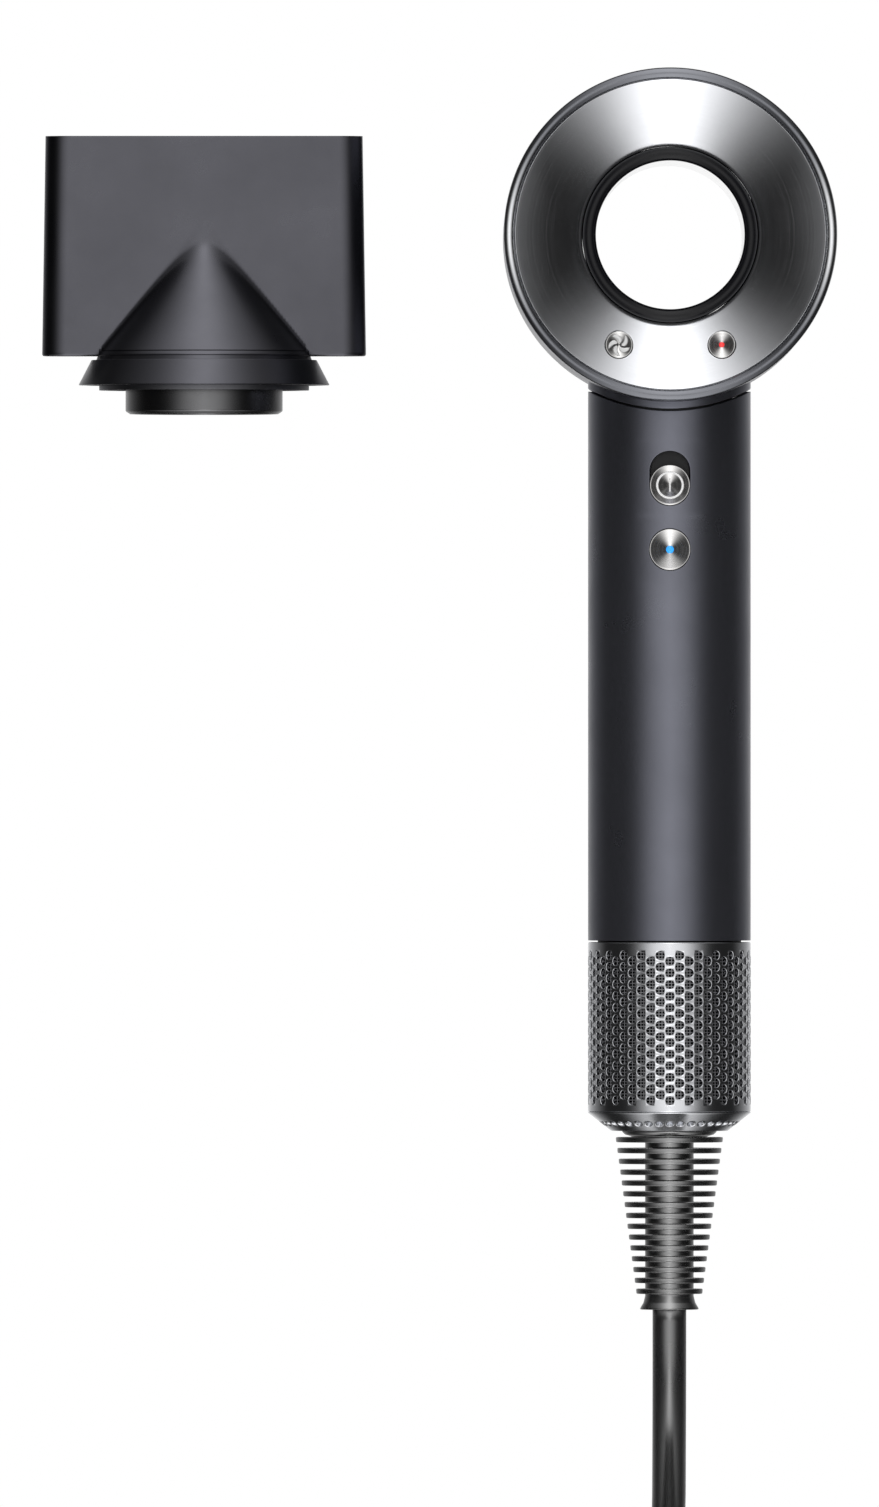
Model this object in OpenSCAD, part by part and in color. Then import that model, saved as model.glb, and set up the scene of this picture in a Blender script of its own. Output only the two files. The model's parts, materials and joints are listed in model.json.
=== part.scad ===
/* [Head] */
// Outside diameter of the round head
head_d = 78; // [70:1:90]
// Length of the head from its rear rim to its outlet
head_len = 97; // [85:1:120]
// Distance from the rear rim to the handle's axis
rear_reach = 40; // [34:1:50]
// Wall of the head shell
head_wall = 1.8; // [1.4:0.1:2.4]
// Inside diameter of the air hole through the head
hole_d = 34.8; // [30:0.2:36]
// Width of the bright rolled rim round the rear face
rim_w = 2.6; // [2:0.1:3.4]
// Width of the black rolled lip round the air hole
lip_w = 3.2; // [2.4:0.1:4]
// Slope of the rear funnel where it meets the rim, in degrees
funnel_slope_out = 24; // [8:1:30]
// Slope of the rear funnel where it meets the lip, in degrees
funnel_slope_in = 38; // [30:1:50]

/* [Outlet] */
// Diameter of the seat that an attachment plugs into
seat_d = 37.2; // [36.6:0.1:37.6]
// Depth of that seat
seat_len = 8; // [6:0.5:10]
// Width of the ring-shaped air slot
slot_w = 1.9; // [1.2:0.1:3]
// Diameter of the shallow recess for an attachment's flange
recess_d = 59.6; // [57:0.2:62]
// Number of magnets that hold an attachment
magnet_count = 6; // [4:1:8]

/* [Handle] */
// Outside diameter of the handle
handle_d = 38.2; // [34:0.2:42]
// Height of the head's centre above the middle of the grip
head_z = 122; // [115:1:135]
// Length of the grip below its middle
grip_low = 43.3; // [35:0.1:50]
// Wall of the handle shell
handle_wall = 1.2; // [1:0.1:1.6]
// Height of the head's saddle over the head's own radius
saddle_h = 1.6; // [1:0.1:2.4]
// Width of the shadow gap between saddle and handle
neck_gap = 0.5; // [0.4:0.1:1]

/* [Controls] */
// Diameter of the two buttons on the rear face
face_button_d = 6.3; // [5:0.1:7]
// Distance of those buttons from the middle plane
face_button_x = 12; // [9:0.5:15]
// Their distance below the head's centre
face_button_drop = 25.8; // [22:0.1:28]
// Diameter of the power slider's steel cap
slider_d = 9.4; // [8:0.1:10]
// Travel of the power slider
slider_travel = 3.2; // [2:0.1:4]
// Distance of the slider's rest place below the head's underside
slider_drop = 19.5; // [17:0.1:22]
// Diameter of the cold-shot button
cold_d = 9.6; // [8:0.1:10]
// Distance of the cold-shot button below the head's underside
cold_drop = 34.6; // [34:0.1:40]
// Travel of the push buttons
press_travel = 0.8; // [0.4:0.1:1.2]

/* [Motor] */
// Outside diameter of the motor housing
motor_d = 28.4; // [26:0.2:30]
// Length of the motor housing
motor_len = 44; // [40:1:48]
// Diameter of the rotor shaft
shaft_d = 3; // [2.5:0.1:4]
// Number of impeller blades
blade_count = 13; // [9:1:15]

/* [Filter] */
// Length of the filter cage, with its tapered end
cage_len = 44.7; // [40:0.1:50]
// Wall of the filter cage
cage_wall = 0.8; // [0.6:0.1:1.2]
// Diameter of the cage's open lower end
cage_mouth_d = 26.2; // [25.8:0.1:28]
// Height of the cage's tapered end
cage_taper = 4.7; // [3:0.1:6]
// Diameter of one intake hole
intake_d = 2.3; // [1.5:0.1:2.5]
// Intake holes in one column
intake_rows = 13; // [8:1:13]
// Columns of intake holes round the cage
intake_cols = 20; // [12:2:26]

/* [Cord] */
// Diameter of the cord
cord_d = 8; // [7:0.1:8]
// Length of the finned strain relief
relief_len = 42; // [36:1:50]
// Number of fins on it
fin_count = 15; // [10:1:16]
// Diameter of its first fin
fin_first_d = 25.2; // [20:0.1:25.4]
// Diameter of its last fin
fin_last_d = 15.7; // [12:0.1:18]
// Diameter of a plug pin
pin_d = 4.8; // [4:0.1:5]
// Distance between the two plug pins
pin_gap = 19; // [17:0.1:22]
// Length of a plug pin
pin_len = 19; // [16:0.1:20]

/* [Nozzle] */
// Distance of the loose nozzle's axis from the handle's axis
nozzle_x = 109.3; // [100:0.1:120]
// Height of the nozzle's mouth above the head's centre
nozzle_rise = 23.6; // [15:0.1:35]
// Width of the nozzle's blade at its root
blade_root_w = 76.1; // [70:0.1:80]
// Width of the nozzle's blade at its mouth
blade_tip_w = 74.5; // [68:0.1:78]
// Height of the blade
blade_h = 51.7; // [45:0.1:60]
// Thickness of the blade
blade_t = 10; // [8:0.5:14]
// Diameter of the nozzle's neck
neck_d = 50.7; // [46:0.1:52]
// Widest diameter of its flange
flange_d = 59; // [56:0.1:61]
// Height of its flange
flange_h = 5.9; // [5:0.1:8]
// Diameter of the spigot that plugs into the outlet seat
spigot_d = 36.9; // [36.3:0.1:37.2]
// Length of that spigot
spigot_len = 6.8; // [5:0.1:7.5]

/* [Hidden] */
$fn = 48;

// Small gaps: a press or glue joint, a sliding joint, and a cut's overshoot
fit = 0.05;
slip = 0.15;
cut = 1;

// Head: its radii, and its stations along the head's axis, with the rear at the low end
head_r = head_d / 2;
head_in_r = head_r - head_wall;
rim_r = head_r - rim_w / 2;
funnel_r = head_r - rim_w - 0.1;
hole_r = hole_d / 2;
lip_r = lip_w / 2;
lip_mid_r = hole_r + lip_r;
lip_out_r = hole_r + lip_w + fit;
rear_y = -rear_reach;
front_y = rear_y + head_len;
rim_y = rear_y + rim_w / 2;
funnel_t = 1.5;
funnel_y = rim_y + 0.3;
funnel_bend_r = (funnel_r - lip_out_r) / (sin(funnel_slope_in) - sin(funnel_slope_out));
funnel_steps = 10;
funnel_end_y = funnel_height(lip_out_r);
lip_y = funnel_end_y + 0.4;
flange_y = funnel_y + 1.3;
board_y = funnel_end_y + 5;
board_t = 1.4;

// Outlet
tube_r = hole_r + 1.5;
seat_r = seat_d / 2;
seat_wall = 1.5;
seat_y = front_y - seat_len;
slot_in_r = seat_r + seat_wall;
slot_out_r = slot_in_r + slot_w;
shoulder_r = 8;
ring_y = front_y - shoulder_r - 2;
ring_nest = 5;
recess_r = recess_d / 2;
recess_deep = 1;
ring_back_y = front_y - 7;
magnet_r = 3;
magnet_t = 3;
magnet_mid_r = (slot_out_r + recess_r) / 2;

// Heater, between the handle's duct and the outlet
heater_y0 = ring_y - 29;
heater_len = 22;
hoop_t = 1;
heater_out_r = head_in_r - 2.4;
heater_in_r = tube_r + 1.5;
shield_r = heater_out_r + 0.9;
coil_wire_r = 0.9;

// Handle and neck
handle_r = handle_d / 2;
handle_in_r = handle_r - handle_wall;
saddle_r = head_r + saddle_h;
handle_top_r = saddle_r + neck_gap;
grip_low_z = -grip_low;
grip_top_z = head_z - handle_top_r;
sleeve_r = handle_in_r - fit * 2;
sleeve_in_r = sleeve_r - 1.6;
sleeve_top_z = head_z - head_in_r - 0.8;
screw_r = 1;

// Controls on the handle: everything behind the wall stands on the handle board
slider_r = slider_d / 2;
slider_z = head_z - head_r - slider_drop;
handle_board_y = -handle_in_r + 6.9;
handle_board_w = 26;
handle_board_low_z = head_z - head_r - cold_drop - 9;
cap_proud = 0.5;
carriage_y = -handle_in_r + 1.7;
carriage_t = 1.4;
carriage_w = 14;
slot_low_z = slider_z - slider_r - slip;
slot_top_z = slider_z + slider_travel + slider_r + slip;
carriage_low_z = slot_low_z - slider_travel - 0.4;
carriage_top_z = slot_top_z + 0.4;
peg_r = 1;
sleeve_low_z = carriage_top_z + slider_travel + 0.4;
screw_z = (sleeve_low_z + grip_top_z) / 2;
handle_board_top_z = sleeve_low_z - 1;
cold_r = cold_d / 2;
cold_z = head_z - head_r - cold_drop;
cold_flange_r = cold_r + 1.1;
cold_flange_y = -handle_in_r + 1.8;
flange_t = 1;
spring_wire_r = 0.25;
spring_turns = 4;

// Rear-face buttons
face_r = face_button_d / 2;
face_mid_r = sqrt(face_button_x * face_button_x + face_button_drop * face_button_drop);
face_front_y = funnel_height(face_mid_r) - 0.8;
face_flange_y = funnel_height(face_mid_r - face_r - 1) + funnel_t + 0.5;
face_flange_r = face_r + 1;
face_switch_h = 1.8;

// Motor
motor_r = motor_d / 2;
motor_in_r = motor_r - 1;
motor_low_z = -motor_len / 2;
motor_top_z = motor_len / 2;
shaft_r = shaft_d / 2;
bearing_r = 4;
bearing_h = 3;
low_bearing_z = motor_low_z + 14;
high_bearing_z = motor_top_z - 9;
hub_r = 5.5;
rotor_r = 4;
core_r = motor_in_r - 1.2;
core_z0 = low_bearing_z + 5;
core_h = high_bearing_z - core_z0 - 3;
impeller_z = motor_low_z + 3;
impeller_h = 9;
mount_h = 4;

// Filter and intake
cage_top_z = grip_low_z - 0.4;
cage_end_z = grip_low_z - cage_len;
cage_mouth_r = cage_mouth_d / 2;
cage_in_r = handle_r - cage_wall;
taper_z = cage_end_z + cage_taper;
mesh_t = 0.25;
rim_h = 3.4;
intake_pitch = (cage_len - cage_taper - rim_h - 3.6) / (intake_rows - 0.5);
frame_r = cage_in_r - mesh_t - 1.2;
frame_ring_t = 2;
window_count = 6;
window_w = 14;
gland_r = cage_mouth_r - 0.6;

// Strain relief
relief_top_z = cage_end_z;
relief_end_z = relief_top_z - relief_len;
fin_t = 1.2;
core_top_r = 5.7;
fin_pitch = (relief_len - 6.4) / (fin_count - 1);
cord_r = cord_d / 2;

// The cord's route out of the strain relief, and its tail out of the hank into the plug
exit_z = relief_end_z;
CORD_ROUTE = [[0, 0, exit_z], [0, 0, exit_z - 8], [0, 1, exit_z - 16], [0, 4, exit_z - 25],
  [0, 9, exit_z - 34], [0, 15, exit_z - 43], [0, 21, exit_z - 52], [1, 25, exit_z - 61],
  [3, 27, exit_z - 71]];
TAIL_ROUTE = [[24, -25, exit_z - 116], [23, -26, exit_z - 124], [21, -29, exit_z - 135],
  [17, -33, exit_z - 147], [11, -37, exit_z - 158], [5, -41, exit_z - 169],
  [1, -44, exit_z - 180], [0, -45, exit_z - 192]];
hank_x = 28.5;
hank_front_y = -29;
hank_back_y = 32;
hank_top_z = exit_z - 62;
hank_low_z = exit_z - 248;
tie_z = exit_z - 106;
tie_h = 18;
tie_t = 1.6;
plug_y = -45;
plug_top_z = exit_z - 192;
plug_relief_h = 18;
plug_h = 36;
plug_w = 35;
plug_deep = 26;

// Nozzle
mouth_z = head_z + nozzle_rise;
blade_low_z = mouth_z - blade_h;
flange_top_z = blade_low_z - 0.9;
flange_low_z = flange_top_z - flange_h;
nozzle_wall = 1.3;
neck_r = neck_d / 2;
flange_top_r = neck_r + 1.1;
flange_r = flange_d / 2;
spigot_r = spigot_d / 2;
cone_slope = 0.796;
cone_h = (neck_r - blade_t / 2 + 1) / cone_slope;

// Height of the rear funnel's face along the head's axis, where its radius is r
function funnel_height(r) =
  let (s = asin(sin(funnel_slope_in) - (r - lip_out_r) / funnel_bend_r))
  funnel_y + funnel_bend_r * (cos(funnel_slope_out) - cos(s));

// Points on an arc about (x, y)
function arc(x, y, r, from, to, steps) =
  [for (i = [0:steps]) let (a = from + (to - from) * i / steps) [x + r * cos(a), y + r * sin(a)]];

// One loop of a helix about Z, as a list of points
function helix(r, h, turns, per_turn) =
  [for (i = [0:turns * per_turn]) let (a = 360 * i / per_turn)
    [r * cos(a), r * sin(a), h * i / (turns * per_turn)]];

function unit(v) = v / norm(v);

// A round tube swept along points; side is a direction that the route never runs along
module tube(points, r, sides, side) {
  last = len(points) - 1;
  corners = [for (i = [0:last]) let (
      t = unit(points[min(i + 1, last)] - points[max(i - 1, 0)]),
      u = unit(cross(side, t)),
      v = cross(t, u))
    for (j = [0:sides - 1]) let (a = 360 * j / sides) points[i] + r * (cos(a) * u + sin(a) * v)];
  walls = [for (i = [0:last - 1]) for (j = [0:sides - 1]) let (k = (j + 1) % sides)
    [i * sides + j, (i + 1) * sides + j, (i + 1) * sides + k, i * sides + k]];
  ends = [[for (j = [0:sides - 1]) j], [for (j = [sides - 1:-1:0]) last * sides + j]];
  polyhedron(points = corners, faces = concat(walls, ends), convexity = 6);
}

// Puts a shape that is built along Z onto the head's axis, with Z pointing out of the outlet
module on_head() {
  translate([0, 0, head_z]) rotate([-90, 0, 0]) children();
}

// Puts a shape that is built along Z behind a control at (x, z), with Z pointing inwards
module behind(x, z) {
  translate([x, 0, z]) rotate([-90, 0, 0]) children();
}

module ring(r_out, r_in, z, h) {
  translate([0, 0, z]) difference() {
    cylinder(r = r_out, h = h);
    translate([0, 0, -cut]) cylinder(r = r_in, h = h + 2 * cut);
  }
}

// A flat slab with round ends, tall along Z, thick along Y from y
module stadium(w, h, y, t) {
  translate([0, y + t, 0]) rotate([90, 0, 0]) linear_extrude(height = t) union() {
    square([w, h - w], center = true);
    for (s = [-1, 1]) translate([0, s * (h - w) / 2]) circle(d = w);
  }
}

// ---- Handle and neck ----

module handle_shell() {
  color("dimgray") difference() {
    translate([0, 0, grip_low_z]) cylinder(r = handle_r, h = head_z - grip_low_z);
    translate([0, 0, grip_low_z - cut]) cylinder(r = handle_in_r, h = head_z - grip_low_z + 2 * cut);
    on_head() translate([0, 0, -head_len]) cylinder(r = handle_top_r, h = 2 * head_len);
    translate([0, 0, (slot_low_z + slot_top_z) / 2])
      stadium(slider_d + 2 * slip, slot_top_z - slot_low_z, -handle_r - cut, handle_r);
    behind(0, cold_z) translate([0, 0, -handle_r - cut]) cylinder(r = cold_r + slip, h = handle_r);
    for (a = [45:90:315]) rotate([0, 0, a]) translate([handle_in_r - cut, 0, screw_z])
      rotate([0, 90, 0]) cylinder(r = screw_r + fit, h = cut + handle_wall / 2);
  }
}

module neck_sleeve() {
  color("black") difference() {
    ring(sleeve_r, sleeve_in_r, sleeve_low_z, sleeve_top_z - sleeve_low_z);
    for (a = [45:90:315]) rotate([0, 0, a]) translate([sleeve_in_r - cut, 0, screw_z])
      rotate([0, 90, 0]) cylinder(r = screw_r + fit, h = handle_r);
  }
}

module neck_screws() {
  color("silver") for (a = [45:90:315]) rotate([0, 0, a])
    translate([sleeve_in_r, 0, screw_z]) rotate([0, 90, 0]) union() {
      translate([0, 0, -1]) cylinder(r = 2 * screw_r, h = 1 - 0.2);
      translate([0, 0, -1]) cylinder(r = screw_r, h = 1 + handle_in_r - sleeve_in_r + handle_wall / 3);
    }
}

// ---- Head ----

module head_shell() {
  rim = arc(rim_r, rim_y, rim_w / 2, 180, 360, 12);
  wall = [[head_r, ring_y], [head_in_r, ring_y], [head_in_r, flange_y - fit],
    [head_r - rim_w, flange_y - fit]];
  color("dimgray") difference() {
    union() {
      on_head() rotate_extrude($fn = 96) polygon(concat(rim, wall));
      difference() {
        intersection() {
          translate([0, 0, head_z - saddle_r - cut]) cylinder(r = handle_r, h = saddle_r);
          on_head() translate([0, 0, rear_y]) cylinder(r = saddle_r, h = head_len);
        }
        on_head() translate([0, 0, rear_y]) cylinder(r = head_in_r + head_wall / 2, h = head_len);
      }
    }
    translate([0, 0, head_z - saddle_r - 2 * cut]) cylinder(r = sleeve_r + fit, h = saddle_r);
  }
}

module rear_funnel() {
  step = (funnel_r - lip_out_r) / funnel_steps;
  face = [for (i = [0:funnel_steps]) let (r = funnel_r - i * step) [r, funnel_height(r)]];
  back = [for (i = [funnel_steps:-1:1]) let (r = funnel_r - i * step)
    [r, funnel_height(r) + funnel_t]];
  skirt = [[funnel_r - step, flange_y + 6], [head_in_r - fit * 2, flange_y + 6],
    [head_in_r - fit * 2, flange_y], [funnel_r, flange_y]];
  color("gainsboro") difference() {
    on_head() rotate_extrude($fn = 96) polygon(concat(face, back, skirt));
    for (s = [-1, 1]) behind(s * face_button_x, head_z - face_button_drop)
      translate([0, 0, rear_y]) cylinder(r = face_r + slip, h = head_len / 3);
  }
}

module air_tube() {
  lip = arc(lip_mid_r, lip_y, lip_r, 180, 360, 12);
  outside = [[lip_out_r - fit, lip_y + 1], [tube_r, lip_y + 2.6], [tube_r, seat_y - 5],
    [slot_in_r, seat_y - 2], [slot_in_r, front_y], [seat_r, front_y], [seat_r, seat_y],
    [hole_r, seat_y - 1.5]];
  color("black") on_head() rotate_extrude($fn = 96) polygon(concat(lip, outside));
}

module front_ring() {
  shoulder = arc(head_r - shoulder_r, front_y - shoulder_r, shoulder_r, 0, 90, 8);
  inside = [[recess_r, front_y], [recess_r, front_y - recess_deep],
    [slot_out_r, front_y - recess_deep], [slot_out_r, ring_back_y - 4],
    [slot_out_r + 1.5, ring_back_y - 4], [slot_out_r + 1.5, ring_back_y],
    [head_in_r - 1.2, ring_back_y], [head_in_r - 1.2, ring_y - ring_nest],
    [head_in_r - fit * 2, ring_y - ring_nest], [head_in_r - fit * 2, ring_y], [head_r, ring_y]];
  color("dimgray") difference() {
    on_head() rotate_extrude($fn = 96) polygon(concat(shoulder, inside));
    on_head() for (i = [0:magnet_count - 1]) rotate([0, 0, i * 360 / magnet_count])
      translate([magnet_mid_r, 0, ring_back_y - cut])
        cylinder(r = magnet_r + fit, h = cut + magnet_t + 1);
  }
}

module outlet_magnets() {
  color("silver") on_head() for (i = [0:magnet_count - 1]) rotate([0, 0, i * 360 / magnet_count])
    translate([magnet_mid_r, 0, ring_back_y + 1 - fit]) cylinder(r = magnet_r, h = magnet_t);
}

module heat_shield() {
  color("silver") on_head() ring(shield_r, shield_r - 0.5, heater_y0 - 2, heater_len + 6);
}

module heater_frame() {
  color("tan") on_head() union() {
    ring(heater_out_r, heater_out_r - hoop_t, heater_y0, heater_len);
    ring(heater_in_r + hoop_t, heater_in_r, heater_y0, heater_len);
    for (a = [0:45:315]) rotate([0, 0, a + 22.5])
      translate([heater_in_r + hoop_t / 2, -0.5, heater_y0])
        cube([heater_out_r - heater_in_r - hoop_t, 1, heater_len]);
  }
}

module heater_coil() {
  color("darkgoldenrod") on_head() for (r = [heater_in_r + 4, heater_out_r - 4])
    for (i = [0:4]) translate([0, 0, heater_y0 + 3 + 4 * i])
      rotate_extrude() translate([r, 0]) circle(r = coil_wire_r);
}

module thermal_cutout() {
  color("silver") on_head() rotate([0, 0, -90])
    translate([(heater_in_r + heater_out_r) / 2, 0, heater_y0 + heater_len + 1])
      cylinder(r = 4, h = 3);
}

module thermistor() {
  color("firebrick") on_head() translate([0, (heater_in_r + heater_out_r) / 2, 0]) union() {
    translate([0, 0, heater_y0 + heater_len + 5]) sphere(r = 1.1);
    translate([0, 0, heater_y0 + heater_len + 0.2]) cylinder(r = 0.5, h = 5);
  }
}

module ion_emitter() {
  color("white") on_head() rotate([0, 0, -60]) translate([slot_out_r + 5, 0, 0]) union() {
    translate([-2.5, -3.5, ring_back_y - 9]) cube([5, 7, 5]);
    translate([0, 0, ring_back_y - 4.5]) cylinder(r = 0.6, h = 3.5);
  }
}

module ring_board() {
  color("darkgreen") on_head() ring(head_in_r - 4, tube_r + 2.5, board_y, board_t);
}

module face_switches() {
  color("black") for (s = [-1, 1]) behind(s * face_button_x, head_z - face_button_drop)
    translate([-2, -2, board_y - face_switch_h]) cube([4, 4, face_switch_h]);
}

module head_harness() {
  route = [[0, handle_board_y + 3, handle_board_top_z - 2], [0, handle_board_y + 3, grip_top_z],
    [0, handle_board_y + 1, grip_top_z + 6], [0, board_y + 9, grip_top_z + 11],
    [0, board_y + board_t + 3.4, head_z - head_in_r + 9],
    [0, board_y + board_t + 2.4, head_z - head_in_r + 14]];
  color("red") tube(route, 1.6, 10, [1, 0, 0]);
}

// A push button's cap, stem and hidden flange, with Z pointing into the object
module push_button(r, front_y, flange_r, flange_y, stem_end) {
  union() {
    translate([0, 0, front_y]) cylinder(r = r, h = flange_y - front_y + flange_t / 2);
    translate([0, 0, flange_y]) cylinder(r = flange_r, h = flange_t);
    translate([0, 0, flange_y]) cylinder(r = 1.5, h = stem_end - flange_y);
  }
}

module airflow_button() {
  color("silver") behind(-face_button_x, head_z - face_button_drop)
    push_button(face_r, face_front_y, face_flange_r, face_flange_y,
      board_y - face_switch_h - press_travel - 0.2);
}

module heat_button() {
  color("silver") behind(face_button_x, head_z - face_button_drop) difference() {
    push_button(face_r, face_front_y, face_flange_r, face_flange_y,
      board_y - face_switch_h - press_travel - 0.2);
    translate([0, 0, face_front_y - cut]) cylinder(r = 0.95, h = cut + 0.6);
  }
}

module heat_lens() {
  color("red") behind(face_button_x, head_z - face_button_drop)
    translate([0, 0, face_front_y]) cylinder(r = 0.9, h = 0.6 - fit);
}

// A coil spring along Z, from one seat to the other
module coil_spring(r, from, to) {
  translate([0, 0, from + spring_wire_r])
    tube(helix(r, to - from - 2 * spring_wire_r, spring_turns, 14), spring_wire_r, 6, [0, 0, 1]);
}

module face_spring() {
  coil_spring(3.4, face_flange_y + flange_t + fit, board_y - fit);
}

module airflow_spring() {
  color("silver") behind(-face_button_x, head_z - face_button_drop) face_spring();
}

module heat_spring() {
  color("silver") behind(face_button_x, head_z - face_button_drop) face_spring();
}

// ---- Controls on the handle ----

module handle_board() {
  color("darkgreen") translate([-handle_board_w / 2, handle_board_y, handle_board_low_z])
    cube([handle_board_w, board_t, handle_board_top_z - handle_board_low_z]);
}

module slide_switch() {
  switch_y = carriage_y + carriage_t + 0.4;
  color("black") difference() {
    translate([-4, switch_y, slider_z - 5])
      cube([8, handle_board_y - switch_y, 10 + slider_travel]);
    translate([-peg_r - slip, switch_y - cut, slider_z - peg_r - slip])
      cube([2 * (peg_r + slip), cut + 2, slider_travel + 2 * (peg_r + slip)]);
  }
}

module power_slider() {
  ring_r = 3.25;
  stroke = 0.55;
  color("lightgray") behind(0, slider_z) difference() {
    translate([0, 0, -handle_r - cap_proud])
      cylinder(r = slider_r, h = carriage_y + handle_r + cap_proud - fit);
    ring(ring_r, ring_r - stroke, -handle_r - cap_proud - cut, cut + 0.25);
    translate([-stroke / 2, -1.6, -handle_r - cap_proud - cut]) cube([stroke, 3.2, cut + 0.25]);
  }
}

module slider_carriage() {
  color("black") union() {
    translate([-carriage_w / 2, carriage_y, carriage_low_z])
      cube([carriage_w, carriage_t, carriage_top_z - carriage_low_z]);
    behind(0, slider_z) translate([0, 0, carriage_y]) cylinder(r = peg_r, h = carriage_t + 2);
  }
}

module cold_shot_button() {
  color("silver") behind(0, cold_z) difference() {
    push_button(cold_r, -handle_r - cap_proud, cold_flange_r, cold_flange_y,
      handle_board_y - 1 - press_travel - 0.2);
    translate([0, 0, -handle_r - cap_proud - cut]) cylinder(r = 1.3, h = cut + 0.6);
  }
}

module cold_lens() {
  color("deepskyblue") behind(0, cold_z)
    translate([0, 0, -handle_r - cap_proud]) cylinder(r = 1.25, h = 0.6 - fit);
}

module cold_switch() {
  color("black") translate([-2, handle_board_y - 1, cold_z - 2]) cube([4, 1, 4]);
}

module cold_spring() {
  color("silver") behind(0, cold_z)
    coil_spring(3.6, cold_flange_y + flange_t + fit, handle_board_y - fit);
}

// ---- Motor ----

module motor_housing() {
  color("silver") union() {
    ring(motor_r, motor_in_r, motor_low_z, motor_len);
    for (a = [0:90:270]) rotate([0, 0, a + 45])
      translate([core_r + fit, -1, core_z0]) cube([motor_in_r - core_r + 0.3, 2, core_h]);
  }
}

module motor_mounts() {
  color("black") for (z = [motor_low_z + 4, motor_top_z - 4 - mount_h])
    ring(handle_in_r - fit, motor_r + fit, z, mount_h);
}

module vane_ring() {
  vane_count = 11;
  color("darkgray") union() {
    ring(hub_r, bearing_r + fit, low_bearing_z, bearing_h);
    ring(motor_in_r - fit, motor_in_r - 1, low_bearing_z, bearing_h);
    for (i = [0:vane_count - 1]) rotate([0, 0, i * 360 / vane_count])
      translate([hub_r - 0.3, -0.3, low_bearing_z]) cube([motor_in_r - hub_r - 0.2, 0.6, bearing_h]);
  }
}

module bearing_bridge() {
  color("darkgray") union() {
    ring(hub_r, bearing_r + fit, high_bearing_z, bearing_h);
    ring(motor_in_r - fit, motor_in_r - 1, high_bearing_z, bearing_h);
    for (a = [0:90:270]) rotate([0, 0, a])
      translate([hub_r - 0.3, -0.8, high_bearing_z]) cube([motor_in_r - hub_r - 0.2, 1.6, bearing_h]);
  }
}

module bearings() {
  color("silver") for (z = [low_bearing_z, high_bearing_z])
    ring(bearing_r, shaft_r + 0.04, z, bearing_h);
}

module stator_core() {
  pole_w = 3.4;
  color("slategray") union() {
    ring(core_r, core_r - 1.8, core_z0, core_h);
    for (a = [0:90:270]) rotate([0, 0, a])
      translate([rotor_r + 0.6, -pole_w / 2, core_z0])
        cube([core_r - 1.5 - rotor_r, pole_w, core_h]);
  }
}

module stator_coils() {
  pole_w = 3.4;
  color("peru") for (a = [0:90:270]) rotate([0, 0, a]) difference() {
    translate([rotor_r + 1.6, -pole_w / 2 - 1.2, core_z0 - 1.2])
      cube([core_r - 4.1 - rotor_r, pole_w + 2.4, core_h + 2.4]);
    translate([rotor_r, -pole_w / 2 - fit, core_z0 - fit])
      cube([core_r, pole_w + 2 * fit, core_h + 2 * fit]);
  }
}

module motor_board() {
  color("darkgreen") ring(motor_in_r - 1, bearing_r, motor_top_z - 2.4, board_t);
}

module motor_shaft() {
  color("lightgray") translate([0, 0, motor_low_z + 2])
    cylinder(r = shaft_r, h = high_bearing_z + bearing_h + 1 - motor_low_z - 2);
}

module rotor_magnet() {
  color("dimgray") ring(rotor_r, shaft_r + 0.01, core_z0, core_h);
}

module impeller() {
  color("black") difference() {
    union() {
      translate([0, 0, impeller_z]) cylinder(r1 = hub_r - 2, r2 = hub_r, h = impeller_h);
      for (i = [0:blade_count - 1]) rotate([0, 0, i * 360 / blade_count])
        translate([hub_r - 2.6, -0.4, impeller_z + 1]) rotate([-18, 0, 0])
          cube([motor_in_r - 0.8 - hub_r + 2.6, 0.8, impeller_h - 2.5]);
    }
    translate([0, 0, impeller_z - cut]) cylinder(r = shaft_r + 0.01, h = impeller_h + 2 * cut);
  }
}

module silencer_foam() {
  foam_h = min(12, handle_board_low_z - motor_top_z - 3);
  color("dimgray") ring(handle_in_r - fit, handle_in_r - 3, motor_top_z + 1, foam_h);
}

// ---- Intake, filter and cord gland ----

module inlet_frame() {
  color("black") union() {
    ring(handle_in_r - fit, frame_r - frame_ring_t, grip_low_z, 7);
    difference() {
      ring(frame_r, frame_r - frame_ring_t, taper_z + 2, grip_low_z - taper_z - 2 + cut);
      for (i = [0:window_count - 1]) rotate([0, 0, i * 360 / window_count])
        translate([0, -window_w / 2, taper_z + 5])
          cube([handle_r, window_w, grip_low_z - taper_z - 8]);
    }
    translate([0, 0, cage_end_z]) difference() {
      union() {
        cylinder(r = gland_r, h = 3);
        translate([0, 0, 1]) cylinder(r1 = gland_r, r2 = frame_r, h = cage_taper + 1.5);
      }
      translate([0, 0, -cut]) cylinder(r = cord_r + fit, h = cage_taper + 5);
      translate([0, 0, 3]) cylinder(r1 = gland_r - 3, r2 = frame_r - 2, h = cage_taper + 1);
    }
  }
}

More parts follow.
